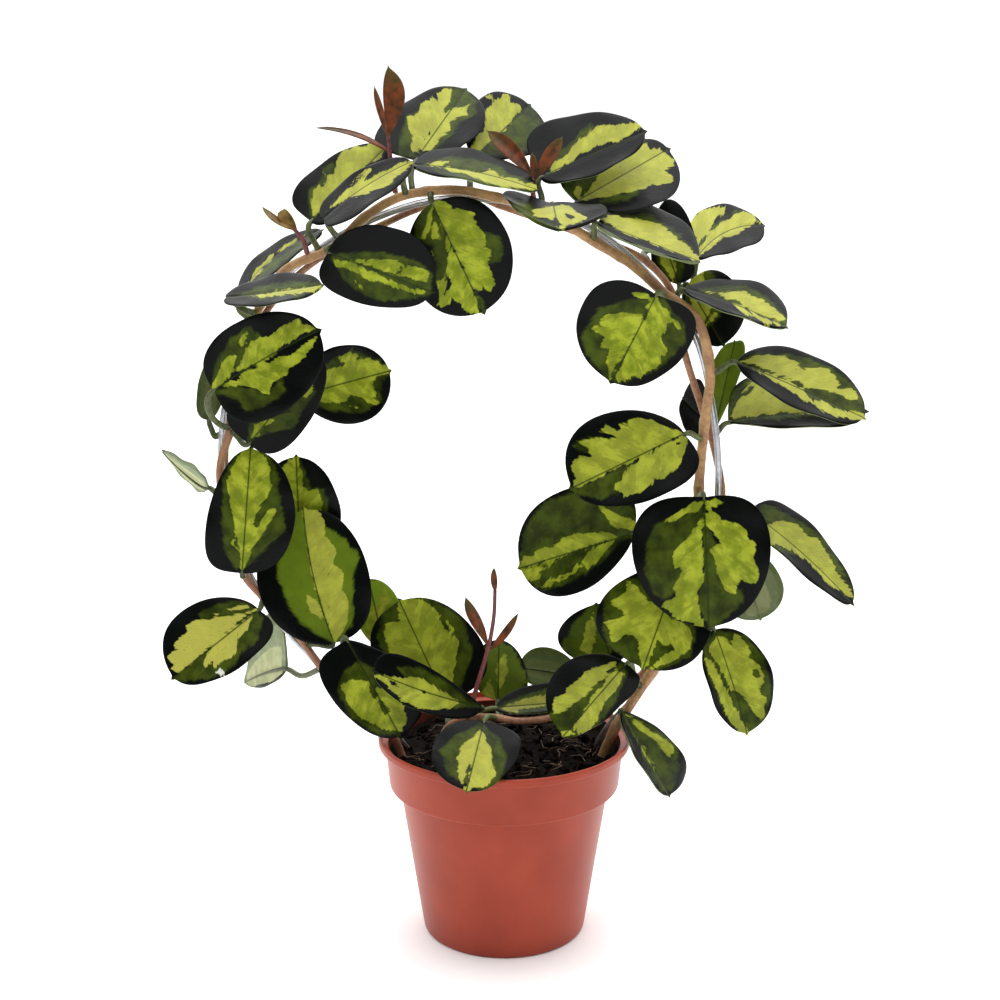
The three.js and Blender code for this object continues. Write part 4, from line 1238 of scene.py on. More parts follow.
        lime=(
            "625,580 633,583 640,590 648,600 660,610 672,618 684,622 690,630 692,640 688,650 680,657 "
            "672,661 660,667 650,669 655,662 665,655 675,650 672,643 664,645 657,640 652,655 648,664 "
            "642,670 640,662 640,650 637,640 630,634 622,636 615,641 610,638 608,626 604,622 615,619 "
            "625,615 620,608 610,605 611,600 620,598 627,592",
        ),
        moss=("604,600 622,578 650,580 684,600 696,630 690,655 660,670 640,668 616,650 604,636",),
    ),
    LeafShape(
        "30", base=(714, 630), tip=(747, 736), left=(772, 672), right=(709, 690), depth=-6, lean=(0.7, 0.3),
        mid=(733, 686), node=(690, 600), painted_sheen=0.2,
        lime=(
            "707,645 716,636 722,637 727,640 731,645 733,634 740,636 744,642 748,652 748,658 758,664 "
            "762,675 764,684 757,687 760,695 766,697 764,707 765,715 760,720 757,716 752,708 745,700 "
            "738,692 730,690 725,680 720,670 713,658 708,650",
            "710,660 718,675 724,688 730,700 737,712 742,722 749,734 744,738 738,734 730,722 722,706 "
            "715,690 708,672 704,658",
        ),
        moss=("702,650 714,632 745,636 764,660 770,690 766,715 754,732 742,738 724,712 710,680",),
        dark=("752,668 756,666 760,676 755,678 752,674",),
    ),
    LeafShape(
        "31", base=(626, 664), tip=(562, 738), left=(630, 697), right=(555, 672), depth=-14,
        lean=(-0.05, 0.8), node=(640, 685),
        lime=(
            "616,661 600,667 592,668 585,672 580,678 572,684 566,690 565,694 555,698 551,706 554,713 "
            "562,712 570,708 580,699 590,690 600,681 607,674 616,666",
            "616,668 606,680 602,688 596,692 590,700 584,712 577,720 574,728 578,735 586,734 592,728 "
            "598,722 602,710 606,702 612,694 620,684 624,674",
            "560,732 570,729 575,735 564,737",
        ),
        moss=("550,714 556,732 566,738 592,734 614,704 626,674 622,664 600,676 576,700",),
    ),
    LeafShape(
        "32", base=(622, 711), tip=(670, 798), left=(683, 755), right=(637, 758), depth=-14, lean=(1.3, 0.5),
        node=(622, 716),
        lime=(
            "624,714 635,719 645,727 655,733 665,739 671,746 672,753 668,757 662,750 655,742 648,736 "
            "638,730 632,722",
            "636,738 644,750 655,772 650,766 641,751",
        ),
        moss=("622,712 650,726 675,744 677,765 672,790 662,792 650,774 640,752 631,734",),
    ),
    LeafShape(
        "33", base=(612, 664), tip=(596, 602), left=(558, 640), right=(626, 632), depth=14, lean=(-0.3, 0.4),
        node=(632, 684), stem=Stem.SECOND, glow=0.15, painted_shade=0.22,
        lime=("580,650 586,628 594,612 596,640 590,655",),
        moss=("563,648 574,624 592,606 612,606 618,640 604,664 575,660",),
    ),
    LeafShape(
        "34", base=(580, 676), tip=(517, 667), left=(548, 690), right=(546, 647), depth=26, lean=(0.2, 0.6),
        node=(600, 706), under=True, painted_shade=0.85,
    ),
    LeafShape(
        "35", base=(498, 700), tip=(499, 638), left=(472, 668), right=(528, 682), depth=16, lean=(0, 0.6),
        node=(500, 718), glow=0.3, painted_shade=0.22,
        lime=(
            "480,692 490,678 498,702 488,704",
            "494,668 505,655 508,670 500,690",
        ),
        moss=("476,694 480,655 500,640 516,655 528,682 512,704 480,704",),
    ),
    LeafShape(
        "36", base=(496, 708), tip=(586, 701), left=(545, 683), right=(536, 713), depth=-4, lean=(0.1, 1.6),
        node=(476, 718), glow=0.15, painted_shade=0.4,
        lime=("500,710 515,702 535,697 560,694 575,698 560,705 530,709 510,713",),
        moss=("497,709 515,700 545,690 580,698 560,708 520,714",),
    ),
    LeafShape(
        "37", base=(447, 703), tip=(398, 598), left=(373, 655), right=(482, 642), depth=8, lean=(0, 0.3),
        node=(447, 724),
        lime=(
            "398,600 412,598 424,600 432,606 440,613 447,620 453,628 457,636 460,646 456,656 455,668 "
            "452,682 447,700 440,690 430,675 415,662 400,655 390,652 385,640 383,628 390,622 400,620 "
            "399,610",
        ),
        moss=("378,640 382,615 395,598 430,597 462,620 472,650 464,680 450,702 430,690 390,662",),
        dark=("438,612 444,618 450,628 452,638 446,630 440,620",),
    ),
    LeafShape(
        "38", base=(482, 707), tip=(371, 670), left=(425, 713), right=(405, 656), depth=-15, lean=(0.5, 0.6),
        mid=(425, 692), node=(470, 719),
        lime=(
            "374,676 385,675 392,677 405,679 420,677 430,683 440,690 452,697 458,703 450,708 436,711 "
            "420,709 405,703 393,693 383,684",
        ),
        moss=("396,668 418,668 440,680 462,698 478,706 455,708 430,694",),
        dark=(
            "388,680 396,683 398,687 392,686",
            "420,690 430,694 426,695",
        ),
    ),
    LeafShape(
        "39", base=(347, 640), tip=(402, 739), left=(420, 686), right=(326, 690), depth=-16, lean=(0.1, 0.2),
        node=(330, 690),
        lime=(
            "340,686 352,680 366,681 380,686 392,694 402,706 408,718 402,731 392,730 380,727 368,722 "
            "358,716 348,704",
        ),
        moss=("338,690 343,672 360,662 378,672 388,690 400,710 398,734 375,732 352,718",),
        dark=("372,681 378,694 384,703 390,712 386,714 378,704 370,692",),
    ),
    LeafShape(
        "40", base=(484, 722), tip=(466, 793), left=(520, 750), right=(432, 748), depth=-30, lean=(0, 1.8),
        node=(494, 719), bow=3,
        lime=(
            "480,729 484,737 489,747 493,758 493,766 497,774 492,782 486,787 475,789 466,793 461,783 "
            "457,773 460,765 457,758 463,748 470,741 476,736",
        ),
        moss=("440,752 458,736 480,724 498,740 507,757 498,785 480,790 450,776",),
        dark=("469,764 472,766 468,782 465,791 464,780",),
    ),
    LeafShape(
        "41", base=(385, 650), tip=(368, 577), left=(354, 612), right=(402, 610), depth=20, lean=(0, 0.3),
        node=(372, 726), glow=0.9, painted_shade=0.22,
        lime=("378,602 385,590 393,600 384,625 376,648 360,640 370,612",),
        moss=("352,580 404,580 404,650 352,650",),
    ),
    LeafShape(
        "42", base=(334, 643), tip=(303, 506), left=(258, 588), right=(368, 568), depth=-8, lean=(0.1, 0.3),
        mid=(313, 575), node=(304, 648), glow=0.4, painted_sheen=0.45,
        lime=(
            "303,506 315,509 321,515 325,525 326,538 333,545 336,552 334,562 340,570 345,575 343,590 "
            "348,600 349,615 345,628 338,638 334,642 328,625 322,605 316,588 311,570 308,550 305,530",
            "305,592 315,600 326,619 318,620 309,612",
        ),
        moss=(
            "298,508 345,540 358,556 354,575 352,600 352,625 336,643 318,636 300,622 288,600 278,575 "
            "280,552 290,530",
        ),
    ),
    LeafShape(
        "43", base=(242, 573), tip=(251, 445), left=(205, 532), right=(295, 518), depth=-14, lean=(0, 0.1),
        node=(240, 576),
        lime=(
            "240,452 248,446 258,450 266,458 270,470 271,485 268,497 262,505 257,515 253,525 258,532 "
            "262,520 268,510 276,507 276,513 268,525 260,538 252,550 248,562 242,572 240,555 238,540 "
            "234,525 231,510 229,495 228,480 233,465",
            "230,537 235,540 237,548 232,545",
        ),
        moss=("224,480 222,530 225,548 236,568 250,564 266,548 284,530 280,500 276,470 268,452 238,450",),
    ),
    LeafShape(
        "44", base=(300, 545), tip=(296, 454), left=(262, 500), right=(341, 514), depth=16, lean=(0, 0),
        node=(264, 597), via=(282, 572, 15), stem=Stem.SECOND,
        lime=("279,470 290,460 297,457 302,470 304,485 308,490 318,489 322,500 322,515 300,522 280,505",),
        moss=("276,474 296,455 306,475 311,488 324,490 328,510 322,532 290,526",),
    ),
    LeafShape(
        "45", base=(214, 390), tip=(322, 329), left=(237, 322), right=(285, 411), depth=-20, lean=(0, 0.05),
        mid=(267, 357), node=(232, 428), heart=(0.05, 0.05),
        lime=(
            "214,388 230,377 245,369 258,362 270,356 283,347 295,338 305,332 316,329 311,325 303,325 "
            "300,319 295,319 288,325 278,329 270,336 260,338 250,340 245,350 243,360 238,367 231,376 "
            "224,381",
            "212,389 218,375 222,362 230,356 236,353 238,356 234,365 230,374 222,384",
            "238,344 241,338 246,332 250,330 248,338 243,346",
            "215,389 228,383 240,376 255,368 270,361 280,357 290,356 300,348 310,341 317,336 313,344 "
            "306,355 297,363 290,368 288,374 280,378 272,384 268,395 260,391 256,388 245,386 232,386",
        ),
        moss=(
            "212,390 215,365 233,338 250,326 260,337 246,352 238,368",
            "214,392 232,386 256,389 268,397 282,378 284,392 262,407 246,409 240,400 224,394",
        ),
    ),
    LeafShape(
        "46", base=(249, 444), tip=(322, 352), left=(237, 395), right=(303, 431), depth=-12, lean=(0.1, -0.1),
        node=(232, 430), painted_shade=0.22,
        lime=(
            "251,437 256,425 262,420 272,418 285,414 275,420 262,428 255,438",
            "300,392 306,384 311,372 313,388 306,397",
        ),
        moss=("248,442 252,420 290,410 302,398 312,372 314,392 292,428 265,432",),
    ),
    LeafShape(
        "47", base=(300, 395), tip=(392, 370), left=(338, 346), right=(363, 422), depth=2, lean=(0.5, 0.1),
        node=(238, 380),
        lime=(
            "322,373 335,367 345,364 340,362 337,357 345,353 353,352 358,355 354,360 358,361 366,357 "
            "375,362 385,366 392,369 385,375 375,379 370,384 374,390 377,393 372,398 378,403 374,406 "
            "366,402 364,399 350,397 345,402 335,404 320,402 314,395 318,382",
            "348,405 355,406 358,409 352,408",
        ),
        moss=("312,372 330,362 352,350 392,369 380,384 380,400 362,412 330,410 312,402",),
    ),
    LeafShape(
        "48", base=(208, 420), tip=(216, 352), left=(197, 392), right=(226, 385), depth=5, lean=(1, 0),
        node=(228, 436), via=(216, 438, 5), stem=Stem.SECOND, under=True, painted_shade=0.8,
    ),
    LeafShape(
        "49", base=(208, 487), tip=(161, 449), left=(197, 490), right=(194, 466), depth=10, lean=(-1, -1.6),
        mid=(191, 477), node=(222, 500), stem=Stem.SECOND, under=True, roundness=0.72,
    ),
    LeafShape(
        "50", base=(259, 610), tip=(171, 680), left=(245, 664), right=(178, 614), depth=-10,
        lean=(-0.18, 0.48), node=(262, 600), heart=(0.1, 0.05), painted_sheen=0.8,
        lime=(
            "256,610 240,614 228,615 220,618 210,620 195,621 188,625 187,632 182,636 174,644 176,648 "
            "180,649 170,654 168,660 174,664 170,669 176,671 180,672 190,665 200,656 212,645 225,634 "
            "238,623 250,614",
            "255,612 251,622 246,630 243,634 237,638 236,650 233,658 225,660 219,664 217,670 214,668 "
            "212,661 208,666 203,666 206,659 209,652 215,643 225,635 240,624",
            "224,610 235,607 247,607 240,611 228,612",
            "214,614 221,611 222,614 217,616",
        ),
        moss=("202,612 218,604 245,603 262,618 258,640 242,652 236,664 215,677 190,680 174,680 204,650",),
        dust=("216,668 222,667 228,670 226,677 219,679 215,674",),
    ),
    LeafShape(
        "51", base=(287, 668), tip=(244, 683), left=(266, 683), right=(271, 611), depth=17, lean=(-1.4, -0.2),
        mid=(266, 673), node=(320, 669), via=(301, 676, 8), heart=(0, 0.1), under=True, roundness=0.75,
    ),
)


@dataclass(frozen=True)
class StemShape:
    """A stem: its run, its usual radius, its thickness along the run as shares of that radius, the distance
    between two of its old leaf nodes, and how many flats go round it."""

    run: tuple[Place, ...]
    radius: float
    taper: tuple[float, float, float, float]
    node_mm: float
    sides: int


STEMS: dict[Stem, StemShape] = {
    Stem.FIRST: StemShape(STEM_A_RUN, STEM_A_RADIUS, (0.78, 0.78, 0.95, 1.02), 31.0, 16),
    Stem.SECOND: StemShape(STEM_B_RUN, STEM_B_RADIUS, (1.0, 1.0, 0.95, 0.8), 37.0, 14),
}


@dataclass
class Vine:
    """The two stems: their runs, their bark and the places on them where a petiole can leave."""

    steps: int = 420
    taper_at: tuple[float, float, float, float] = (0.0, 0.25, 0.55, 1.0)
    swell: float = 0.16
    swell_mm: float = 2.2
    bark_relief: float = 0.07
    bark_round: float = 1.4
    bark_per_mm: float = 0.16
    runs: dict[Stem, np.ndarray] = field(init=False)

    def __post_init__(self) -> None:
        """Draws both runs."""
        self.runs = {stem: spline([VIEW.at_depth(p) for p in shape.run]) for stem, shape in STEMS.items()}

    def nearest(self, pixel: Pixel, wanted: Stem) -> tuple[np.ndarray, np.ndarray, float]:
        """Finds where a petiole leaves.

        Args:
            pixel: where the node shows.
            wanted: the stem that it is on.

        Returns:
            The node's place on the axis, the stem's direction there and its radius.
        """
        best = None
        for stem, run in self.runs.items():
            if wanted not in (stem, Stem.EITHER):
                continue
            away = np.linalg.norm(VIEW.pixels(run) - np.array(pixel, float), axis=-1)
            at = int(away.argmin())
            if best is None or away[at] < best[0]:
                direction = unit(run[min(at + 1, len(run) - 1)] - run[max(at - 1, 0)])
                best = (away[at], run[at], direction, STEMS[stem].radius)
        return best[1:]

    def build(self, finishes: Finishes) -> None:
        """Builds both stems, with a swelling every few centimetres where leaves once sat."""
        bark = {Stem.FIRST: finishes.bark_a, Stem.SECOND: finishes.bark_b}
        for stem, shape in STEMS.items():
            path = resampled(self.runs[stem], self.steps)
            length = lengths(path)
            from_node = (np.mod(length, shape.node_mm) / shape.node_mm - 0.5) * shape.node_mm
            swell = 1 + self.swell * np.exp(-(from_node / self.swell_mm) ** 2)
            around = np.linspace(0, FULL_TURN, shape.sides + 1)
            relief = np.array([[self.relief(angle, at) for angle in around] for at in length])
            taper = np.interp(length / length[-1], self.taper_at, shape.taper)
            radii = shape.radius * (taper * swell)[:, None] * (1 + self.bark_relief * relief)
            piece = Piece(f"vine_stem_{stem.value}")
            piece.tube(path, radii, shape.sides, layers={"along": length})
            piece.finish(Slot.BARK, [bark[stem]], f"stem_{stem.value}")

    def relief(self, angle: float, at: float) -> float:
        """The unevenness of the bark at an angle round the stem and a distance along it."""
        return noise.noise(Vector((math.cos(angle) * self.bark_round, math.sin(angle) * self.bark_round,
                                   at * self.bark_per_mm)))


@dataclass
class Leaf:
    """One leaf: a blade with an upper and a lower skin, and a petiole that runs on as the raised midrib."""

    shape: LeafShape
    vine: Vine
    columns: int = 37
    rows: int = 53
    thickness: float = BLADE_THICKNESS
    rim_from: float = 0.999
    # The wavy edge: its height, its waves per leaf, its shift from one leaf to the next, and the widths
    # from which and over which it sets in.
    ripple: float = 0.5
    ripple_count: float = 2.3
    ripple_shift: float = 1.7
    ripple_from: float = 6.0
    ripple_over: float = 12.0
    # How squarely the blade's section ends at its rim, and the width below which it thins out.
    section_power: float = 9.0
    thin_below: float = 2.5
    # The groove over the midrib.
    groove_depth: float = 0.32
    groove_width: float = 0.8
    groove_from: float = 8.0
    # The markings of a leaf that shows its underside: the shares of its width and length that they fill.
    hidden_across: float = 0.5
    hidden_along: float = 0.4
    hidden_moss: float = 0.3
    # Painted sheen: how strongly the patch of a leaf that lies flat, facing up to the light, is paled, and
    # the lean that counts as flat.
    flat_painted_sheen: float = 0.6
    flat_lean: float = 1.4
    # The petiole and the midrib, which run on from each other. The petiole starts inside the bark, at this
    # share of the stem's radius, and its bend reaches this share of its span in from both ends. The midrib
    # leaves the blade's first and last rows free.
    inset: float = 0.6
    bend: float = 0.4
    bend_steps: int = 25
    rib_rows: tuple[int, int] = (3, -6)
    stalk_steps: int = 26
    rod_steps: int = 54
    rod_sides: int = 12
    rib_depth: float = 0.75
    rib_radius: float = 0.95
    rib_narrowing: float = 0.75
    flare: float = 0.12
    # Shifts that give each leaf its own stretch of the patterns.
    pattern_shift: float = 137.0
    rod_shift: float = 31.0
    rod_span: float = 60.0

    @property
    def number(self) -> int:
        """The leaf's number, which its name says."""
        return int(self.shape.name)

    def upwards(self, points: np.ndarray) -> np.ndarray:
        """The directions out of the blade's upper side."""
        normal = steady_normals(points, 2)
        middle = (len(points) // 2, points.shape[1] // 2)
        facing = np.dot(normal[middle], VIEW.eye - points[middle]) > 0
        return normal if facing != self.shape.under else -normal

    def petiole(self) -> np.ndarray:
        """The petiole's centre line, from inside the bark, so that no gap shows, to the blade."""
        place, tangent, radius = self.vine.nearest(self.shape.node, self.shape.stem)
        end = self.shape.surface(np.array(0.0), np.array(0.0))[0]
        ahead = self.shape.surface(np.array(0.0), np.array(0.2))[0]
        via = VIEW.at_depth(self.shape.via) if self.shape.via else None
        outward = (end if via is None else via) - place
        outward = unit(outward - tangent * np.dot(outward, tangent))
        start = place + outward * self.inset * radius
        if via is not None:
            return spline([start, start + outward * 2 * PETIOLE_RADIUS, via, end])
        reach = self.bend * np.linalg.norm(start - end)
        knots = [start, start + outward * reach, end - unit(ahead - end) * reach, end]
        u = np.linspace(0, 1, self.bend_steps)[:, None]
        return (knots[0] * (1 - u) ** 3 + knots[1] * 3 * u * (1 - u) ** 2
                + knots[2] * 3 * u ** 2 * (1 - u) + knots[3] * u ** 3)

    def markings(self, s: np.ndarray, t: np.ndarray, pixels: np.ndarray, across: np.ndarray,
                 along: np.ndarray) -> dict[str, np.ndarray]:
        """Works out what the blade's finish reads.

        Args:
            s: the corners' places across the blade, from -1 to 1.
            t: their places along it, from 0 to 1.
            pixels: where they show in the view.
            across: how far they are from the midrib, in millimetres.
            along: how far each row is from the base, in millimetres.

        Returns:
            The values by attribute name.
        """
        shape = self.shape
        bites = -inside_by(pixels, shape.dark, -99.0)
        lime = np.minimum(inside_by(pixels, shape.lime), bites) * MM_PER_PIXEL
        moss = inside_by(pixels, shape.moss) * MM_PER_PIXEL
        if shape.under:
            wide = np.abs(across).max(axis=1, keepdims=True)
            lime = np.minimum((self.hidden_across - np.abs(s)) * wide,
                              (self.hidden_along - np.abs(t - 0.5)) * along[-1])
            moss = lime + self.hidden_moss * wide
        # Painted sheen, stronger where the leaf lies flat facing up, and painted shade are even values over
        # the blade.
        flatness = min(max(shape.lean[1] / self.flat_lean, 0.0), 1.0)
        painted_sheen = max(shape.painted_sheen, self.flat_painted_sheen * flatness)
        even = {"glow": shape.glow, "painted_shade": shape.painted_shade, "painted_sheen": painted_sheen}
        return {
            "across": across,
            "along": np.broadcast_to(along + self.pattern_shift * self.number, s.shape),
            "lime": lime,
            "moss": moss,
            "dust": inside_by(pixels, shape.dust) * MM_PER_PIXEL,
            **{name: np.full(s.shape, value) for name, value in even.items()},
        }

    def build(self, finishes: Finishes) -> None:
        """Builds the leaf and lets it stand for its node."""
        s, t = blade_grid(self.rows, self.columns)
        points, pixels = self.shape.surface(s, t)
        normal = self.upwards(points)
        centre = points[:, self.columns // 2]
        across = np.linalg.norm(points - centre[:, None], axis=-1) * np.sign(s)
        layers = self.markings(s, t, pixels, across, lengths(centre)[:, None])
        wide = np.abs(across).max(axis=1, keepdims=True)
        waves = np.sin(FULL_TURN * self.ripple_count * t + self.ripple_shift * self.number)
        waves *= self.ripple * np.abs(s) ** 3 * np.clip((wide - self.ripple_from) / self.ripple_over, 0, 1)
        points = points + normal * waves[..., None]
        half = 0.5 * self.thickness * np.sqrt(np.clip(1 - np.abs(s) ** self.section_power, 0, 1))
        half *= np.clip(wide / self.thin_below, 0, 1)
        groove = self.groove_depth * np.exp(-(across / self.groove_width) ** 2)
        groove *= np.clip(wide / self.groove_from, 0, 1)
        rim = np.abs(s) > self.rim_from
        piece = Piece(f"vine_leaf_{self.shape.name}")
        piece.skin(points + normal * (half - groove)[..., None], {**layers, "top": np.where(rim, 0.5, 1.0)})
        piece.skin(points - normal * half[..., None], {**layers, "top": np.where(rim, 0.5, 0.0)})
        self.add_rod(piece, points[:, self.columns // 2] - normal[:, self.columns // 2] * self.rib_depth)
        piece.finish(Slot.LEAF, [finishes.blade, finishes.petiole], f"leaf_{self.shape.name}")

    def add_rod(self, piece: Piece, below: np.ndarray) -> None:
        """Adds the petiole, which runs on under the blade as the midrib.

        Args:
            piece: the leaf's piece.
            below: the line under the blade's middle, from base to tip.
        """
        stalk = resampled(self.petiole(), self.stalk_steps)
        rib = below[slice(*self.rib_rows)]
        path = resampled(np.vstack([stalk[:-1], rib]), self.rod_steps)
        for _ in range(2):
            path[1:-1] = (path[:-2] + 2 * path[1:-1] + path[2:]) / 4
        share = np.linspace(0, 1, self.rod_steps)
        stalk_length, rib_length = lengths(stalk)[-1], lengths(rib)[-1]
        reach = stalk_length / (stalk_length + rib_length)
        radii = np.where(share < reach, PETIOLE_RADIUS * (1 + self.flare * (1 - share / reach) ** 4),
                         self.rib_radius - self.rib_narrowing * (share - reach) / (1 - reach))
        radii = np.convolve(np.pad(radii, 2, mode="edge"), np.ones(5) / 5, mode="valid")
        piece.tube(path, radii, self.rod_sides, slot=1,
                   layers={"along": share * self.rod_span + self.rod_shift * self.number})


@dataclass(frozen=True)
class ShootShape:
    """A young shoot: where it leaves the stem, its stalk's run and its small leaves."""

    name: str
    node: Pixel
    stalk: tuple[Place, ...]
    leaves: tuple[YoungShape, ...]
    olive: bool = False


# The young shoots.
SHOOTS: tuple[ShootShape, ...] = (
    ShootShape(
        "top", node=(398, 197), stalk=((394, 176, -1), (390, 155, -1), (388, 136, -1)),
        leaves=(
            YoungShape(
                "top_1", base=(389, 139), tip=(388, 65), left=(381, 92), right=(405, 94), depth=-1,
                lean=(0.3, 0.1),
            ),
            YoungShape(
                "top_2", base=(388, 141), tip=(374, 85), left=(375, 106), right=(385, 112), depth=-1,
                lean=(-0.1, -0.1),
            ),
            YoungShape(
                "top_3", base=(390, 153), tip=(312, 128), left=(352, 137), right=(352, 130), depth=-1,
                lean=(0.2, 1), mid=(358, 134),
            ),
        ),
    ),
    ShootShape(
        "left", node=(307, 255), stalk=((303, 240, -8), (294, 229, -9)), olive=True,
        leaves=(
            YoungShape(
                "left_1", base=(298, 234), tip=(284, 208), left=(277, 218), right=(293, 216), depth=-8,
                lean=(0.3, 0.3),
            ),
            YoungShape(
                "left_2", base=(296, 231), tip=(261, 206), left=(272, 222), right=(276, 215), depth=-9,
                lean=(0.5, 0.8), mid=(278, 219),
            ),
        ),
    ),
    ShootShape(
        "right", node=(533, 203), stalk=((533, 192, -3), (535, 180, -6)),
        leaves=(
            YoungShape(
                "right_1", base=(536, 180), tip=(563, 136), left=(543, 152), right=(559, 156), depth=-6,
                lean=(0, 0.2),
            ),
            YoungShape(
                "right_2", base=(535, 182), tip=(532, 152), left=(529, 164), right=(538, 164), depth=-6,
                lean=(0, 0),
            ),
            YoungShape(
                "right_3", base=(535, 181), tip=(486, 130), left=(501, 153), right=(513, 139), depth=-6,
                lean=(-0.6, 0.45), mid=(515, 153),
            ),
        ),
    ),
    ShootShape(
        "bottom", node=(472, 718),
        stalk=((472, 704, -6), (482, 670, -3), (489, 645, -2), (494, 615, -2), (495, 590, -2)),
        leaves=(
            YoungShape(
                "bottom_1", base=(495, 592), tip=(494, 567), left=(490, 579), right=(498, 580), depth=-2,
                lean=(0, 0),
            ),
            YoungShape(
                "bottom_2", base=(488, 648), tip=(465, 596), left=(466, 616), right=(482, 618), depth=-2,
                lean=(0.1, 0),
            ),
            YoungShape(
                "bottom_3", base=(489, 650), tip=(519, 612), left=(504, 627), right=(509, 636), depth=-2,
                lean=(0.1, 0.3), mid=(504, 634),
            ),
        ),
    ),
)


@dataclass
class Shoot:
    """One young shoot with its folded leaves."""

    shape: ShootShape
    vine: Vine
    steps: int = 40
    sides: int = 10
    columns: int = 13
    rows: int = 25
    # The stalk's radius at its foot and how much of it is gone at its end, as shares of the usual one.
    foot: float = 1.15
    narrowing: float = 0.35
    # Half a young leaf's thickness at its tip, how much more it is at its base, the width below which it
    # thins out, and the share of it that always stays.
    half_tip: float = 0.35
    half_more: float = 0.25
    thin_below: float = 1.5
    thinnest: float = 0.25
    section_power: float = 4.0
    fold: float = 0.12

    def build(self, finishes: Finishes) -> None:
        """Builds the shoot and lets it stand for its node."""
        place, tangent, radius = self.vine.nearest(self.shape.node, Stem.EITHER)
        first = VIEW.at_depth(self.shape.stalk[0])
        outward = unit((first - place) - tangent * np.dot(first - place, tangent))
        start = place + outward * (radius + CLEARANCE)
        path = resampled(spline([start, *[VIEW.at_depth(p) for p in self.shape.stalk]]), self.steps)
        share = np.linspace(0, 1, self.steps)
        piece = Piece(f"young_shoot_{self.shape.name}")
        piece.tube(path, SHOOT_RADIUS * (self.foot - self.narrowing * share), self.sides, slot=1,
                   layers={"along": share * self.steps})
        for young in self.shape.leaves:
            self.add_leaf(piece, young)
        tissue = finishes.young_olive if self.shape.olive else finishes.young
        piece.finish(Slot.SHOOT, [tissue, finishes.stalk], f"shoot_{self.shape.name}")

    def add_leaf(self, piece: Piece, young: YoungShape) -> None:
        """Adds one small leaf, folded up a little along its midrib."""
        s, t = blade_grid(self.rows, self.columns)
        points, _ = young.surface(s, t)
        normal = steady_normals(points, 1)
        wide = np.linalg.norm(points[:, -1] - points[:, 0], axis=-1)[:, None]
        half = (self.half_tip + self.half_more * (1 - t)) * np.sqrt(np.clip(
            1 - np.abs(s) ** self.section_power, 0, 1))
        half *= np.clip(wide / self.thin_below, self.thinnest, 1)
        points = points + normal * (self.fold * np.abs(s) * wide)[..., None]
        for sign in (1, -1):
            piece.skin(points + sign * normal * half[..., None], {"along": t})


@dataclass
class Hoop:
    """The wire hoop that the vine is trained on, and the two fine wires that run beside it."""

    radius: float = WIRE_RADIUS
    sides: int = 14
    steps: int = 320
    fine_radius: float = 0.3
    fine_sides: int = 8
    # Where the two fine wires run: how far outside the hoop and how far behind it.
    fine_places: tuple[Pair, ...] = ((1.25, 0.5), (-1.25, -0.4))
    twists: float = 9.0
    sway: float = 0.3

    def build(self, finishes: Finishes) -> None:
        """Builds the hoop, which stands for its node, and the fine wires on its outer and inner side."""
        path = resampled(spline([VIEW.at_depth(p) for p in WIRE_RUN]), self.steps)
        piece = Piece("galvanised_hoop")
        piece.tube(path, np.full(self.steps, self.radius), self.sides)
        piece.finish(Slot.WIRE, [finishes.wire], "hoop_wire")
        ahead = unit(np.gradient(path, axis=0))
        outward = unit(np.stack([-ahead[:, 2], np.zeros(self.steps), ahead[:, 0]], axis=-1))
        sway = self.sway * np.sin(np.linspace(0, self.twists * math.pi, self.steps))[:, None]
        pair = Piece("hoop_lashing_wires")
        for gap, behind in self.fine_places:
            side = path + outward * (gap + sway) + np.array([0.0, behind, 0.0])
            pair.tube(side, np.full(self.steps, self.fine_radius), self.fine_sides)
        pair.finish(Slot.WIRE, [finishes.wire])


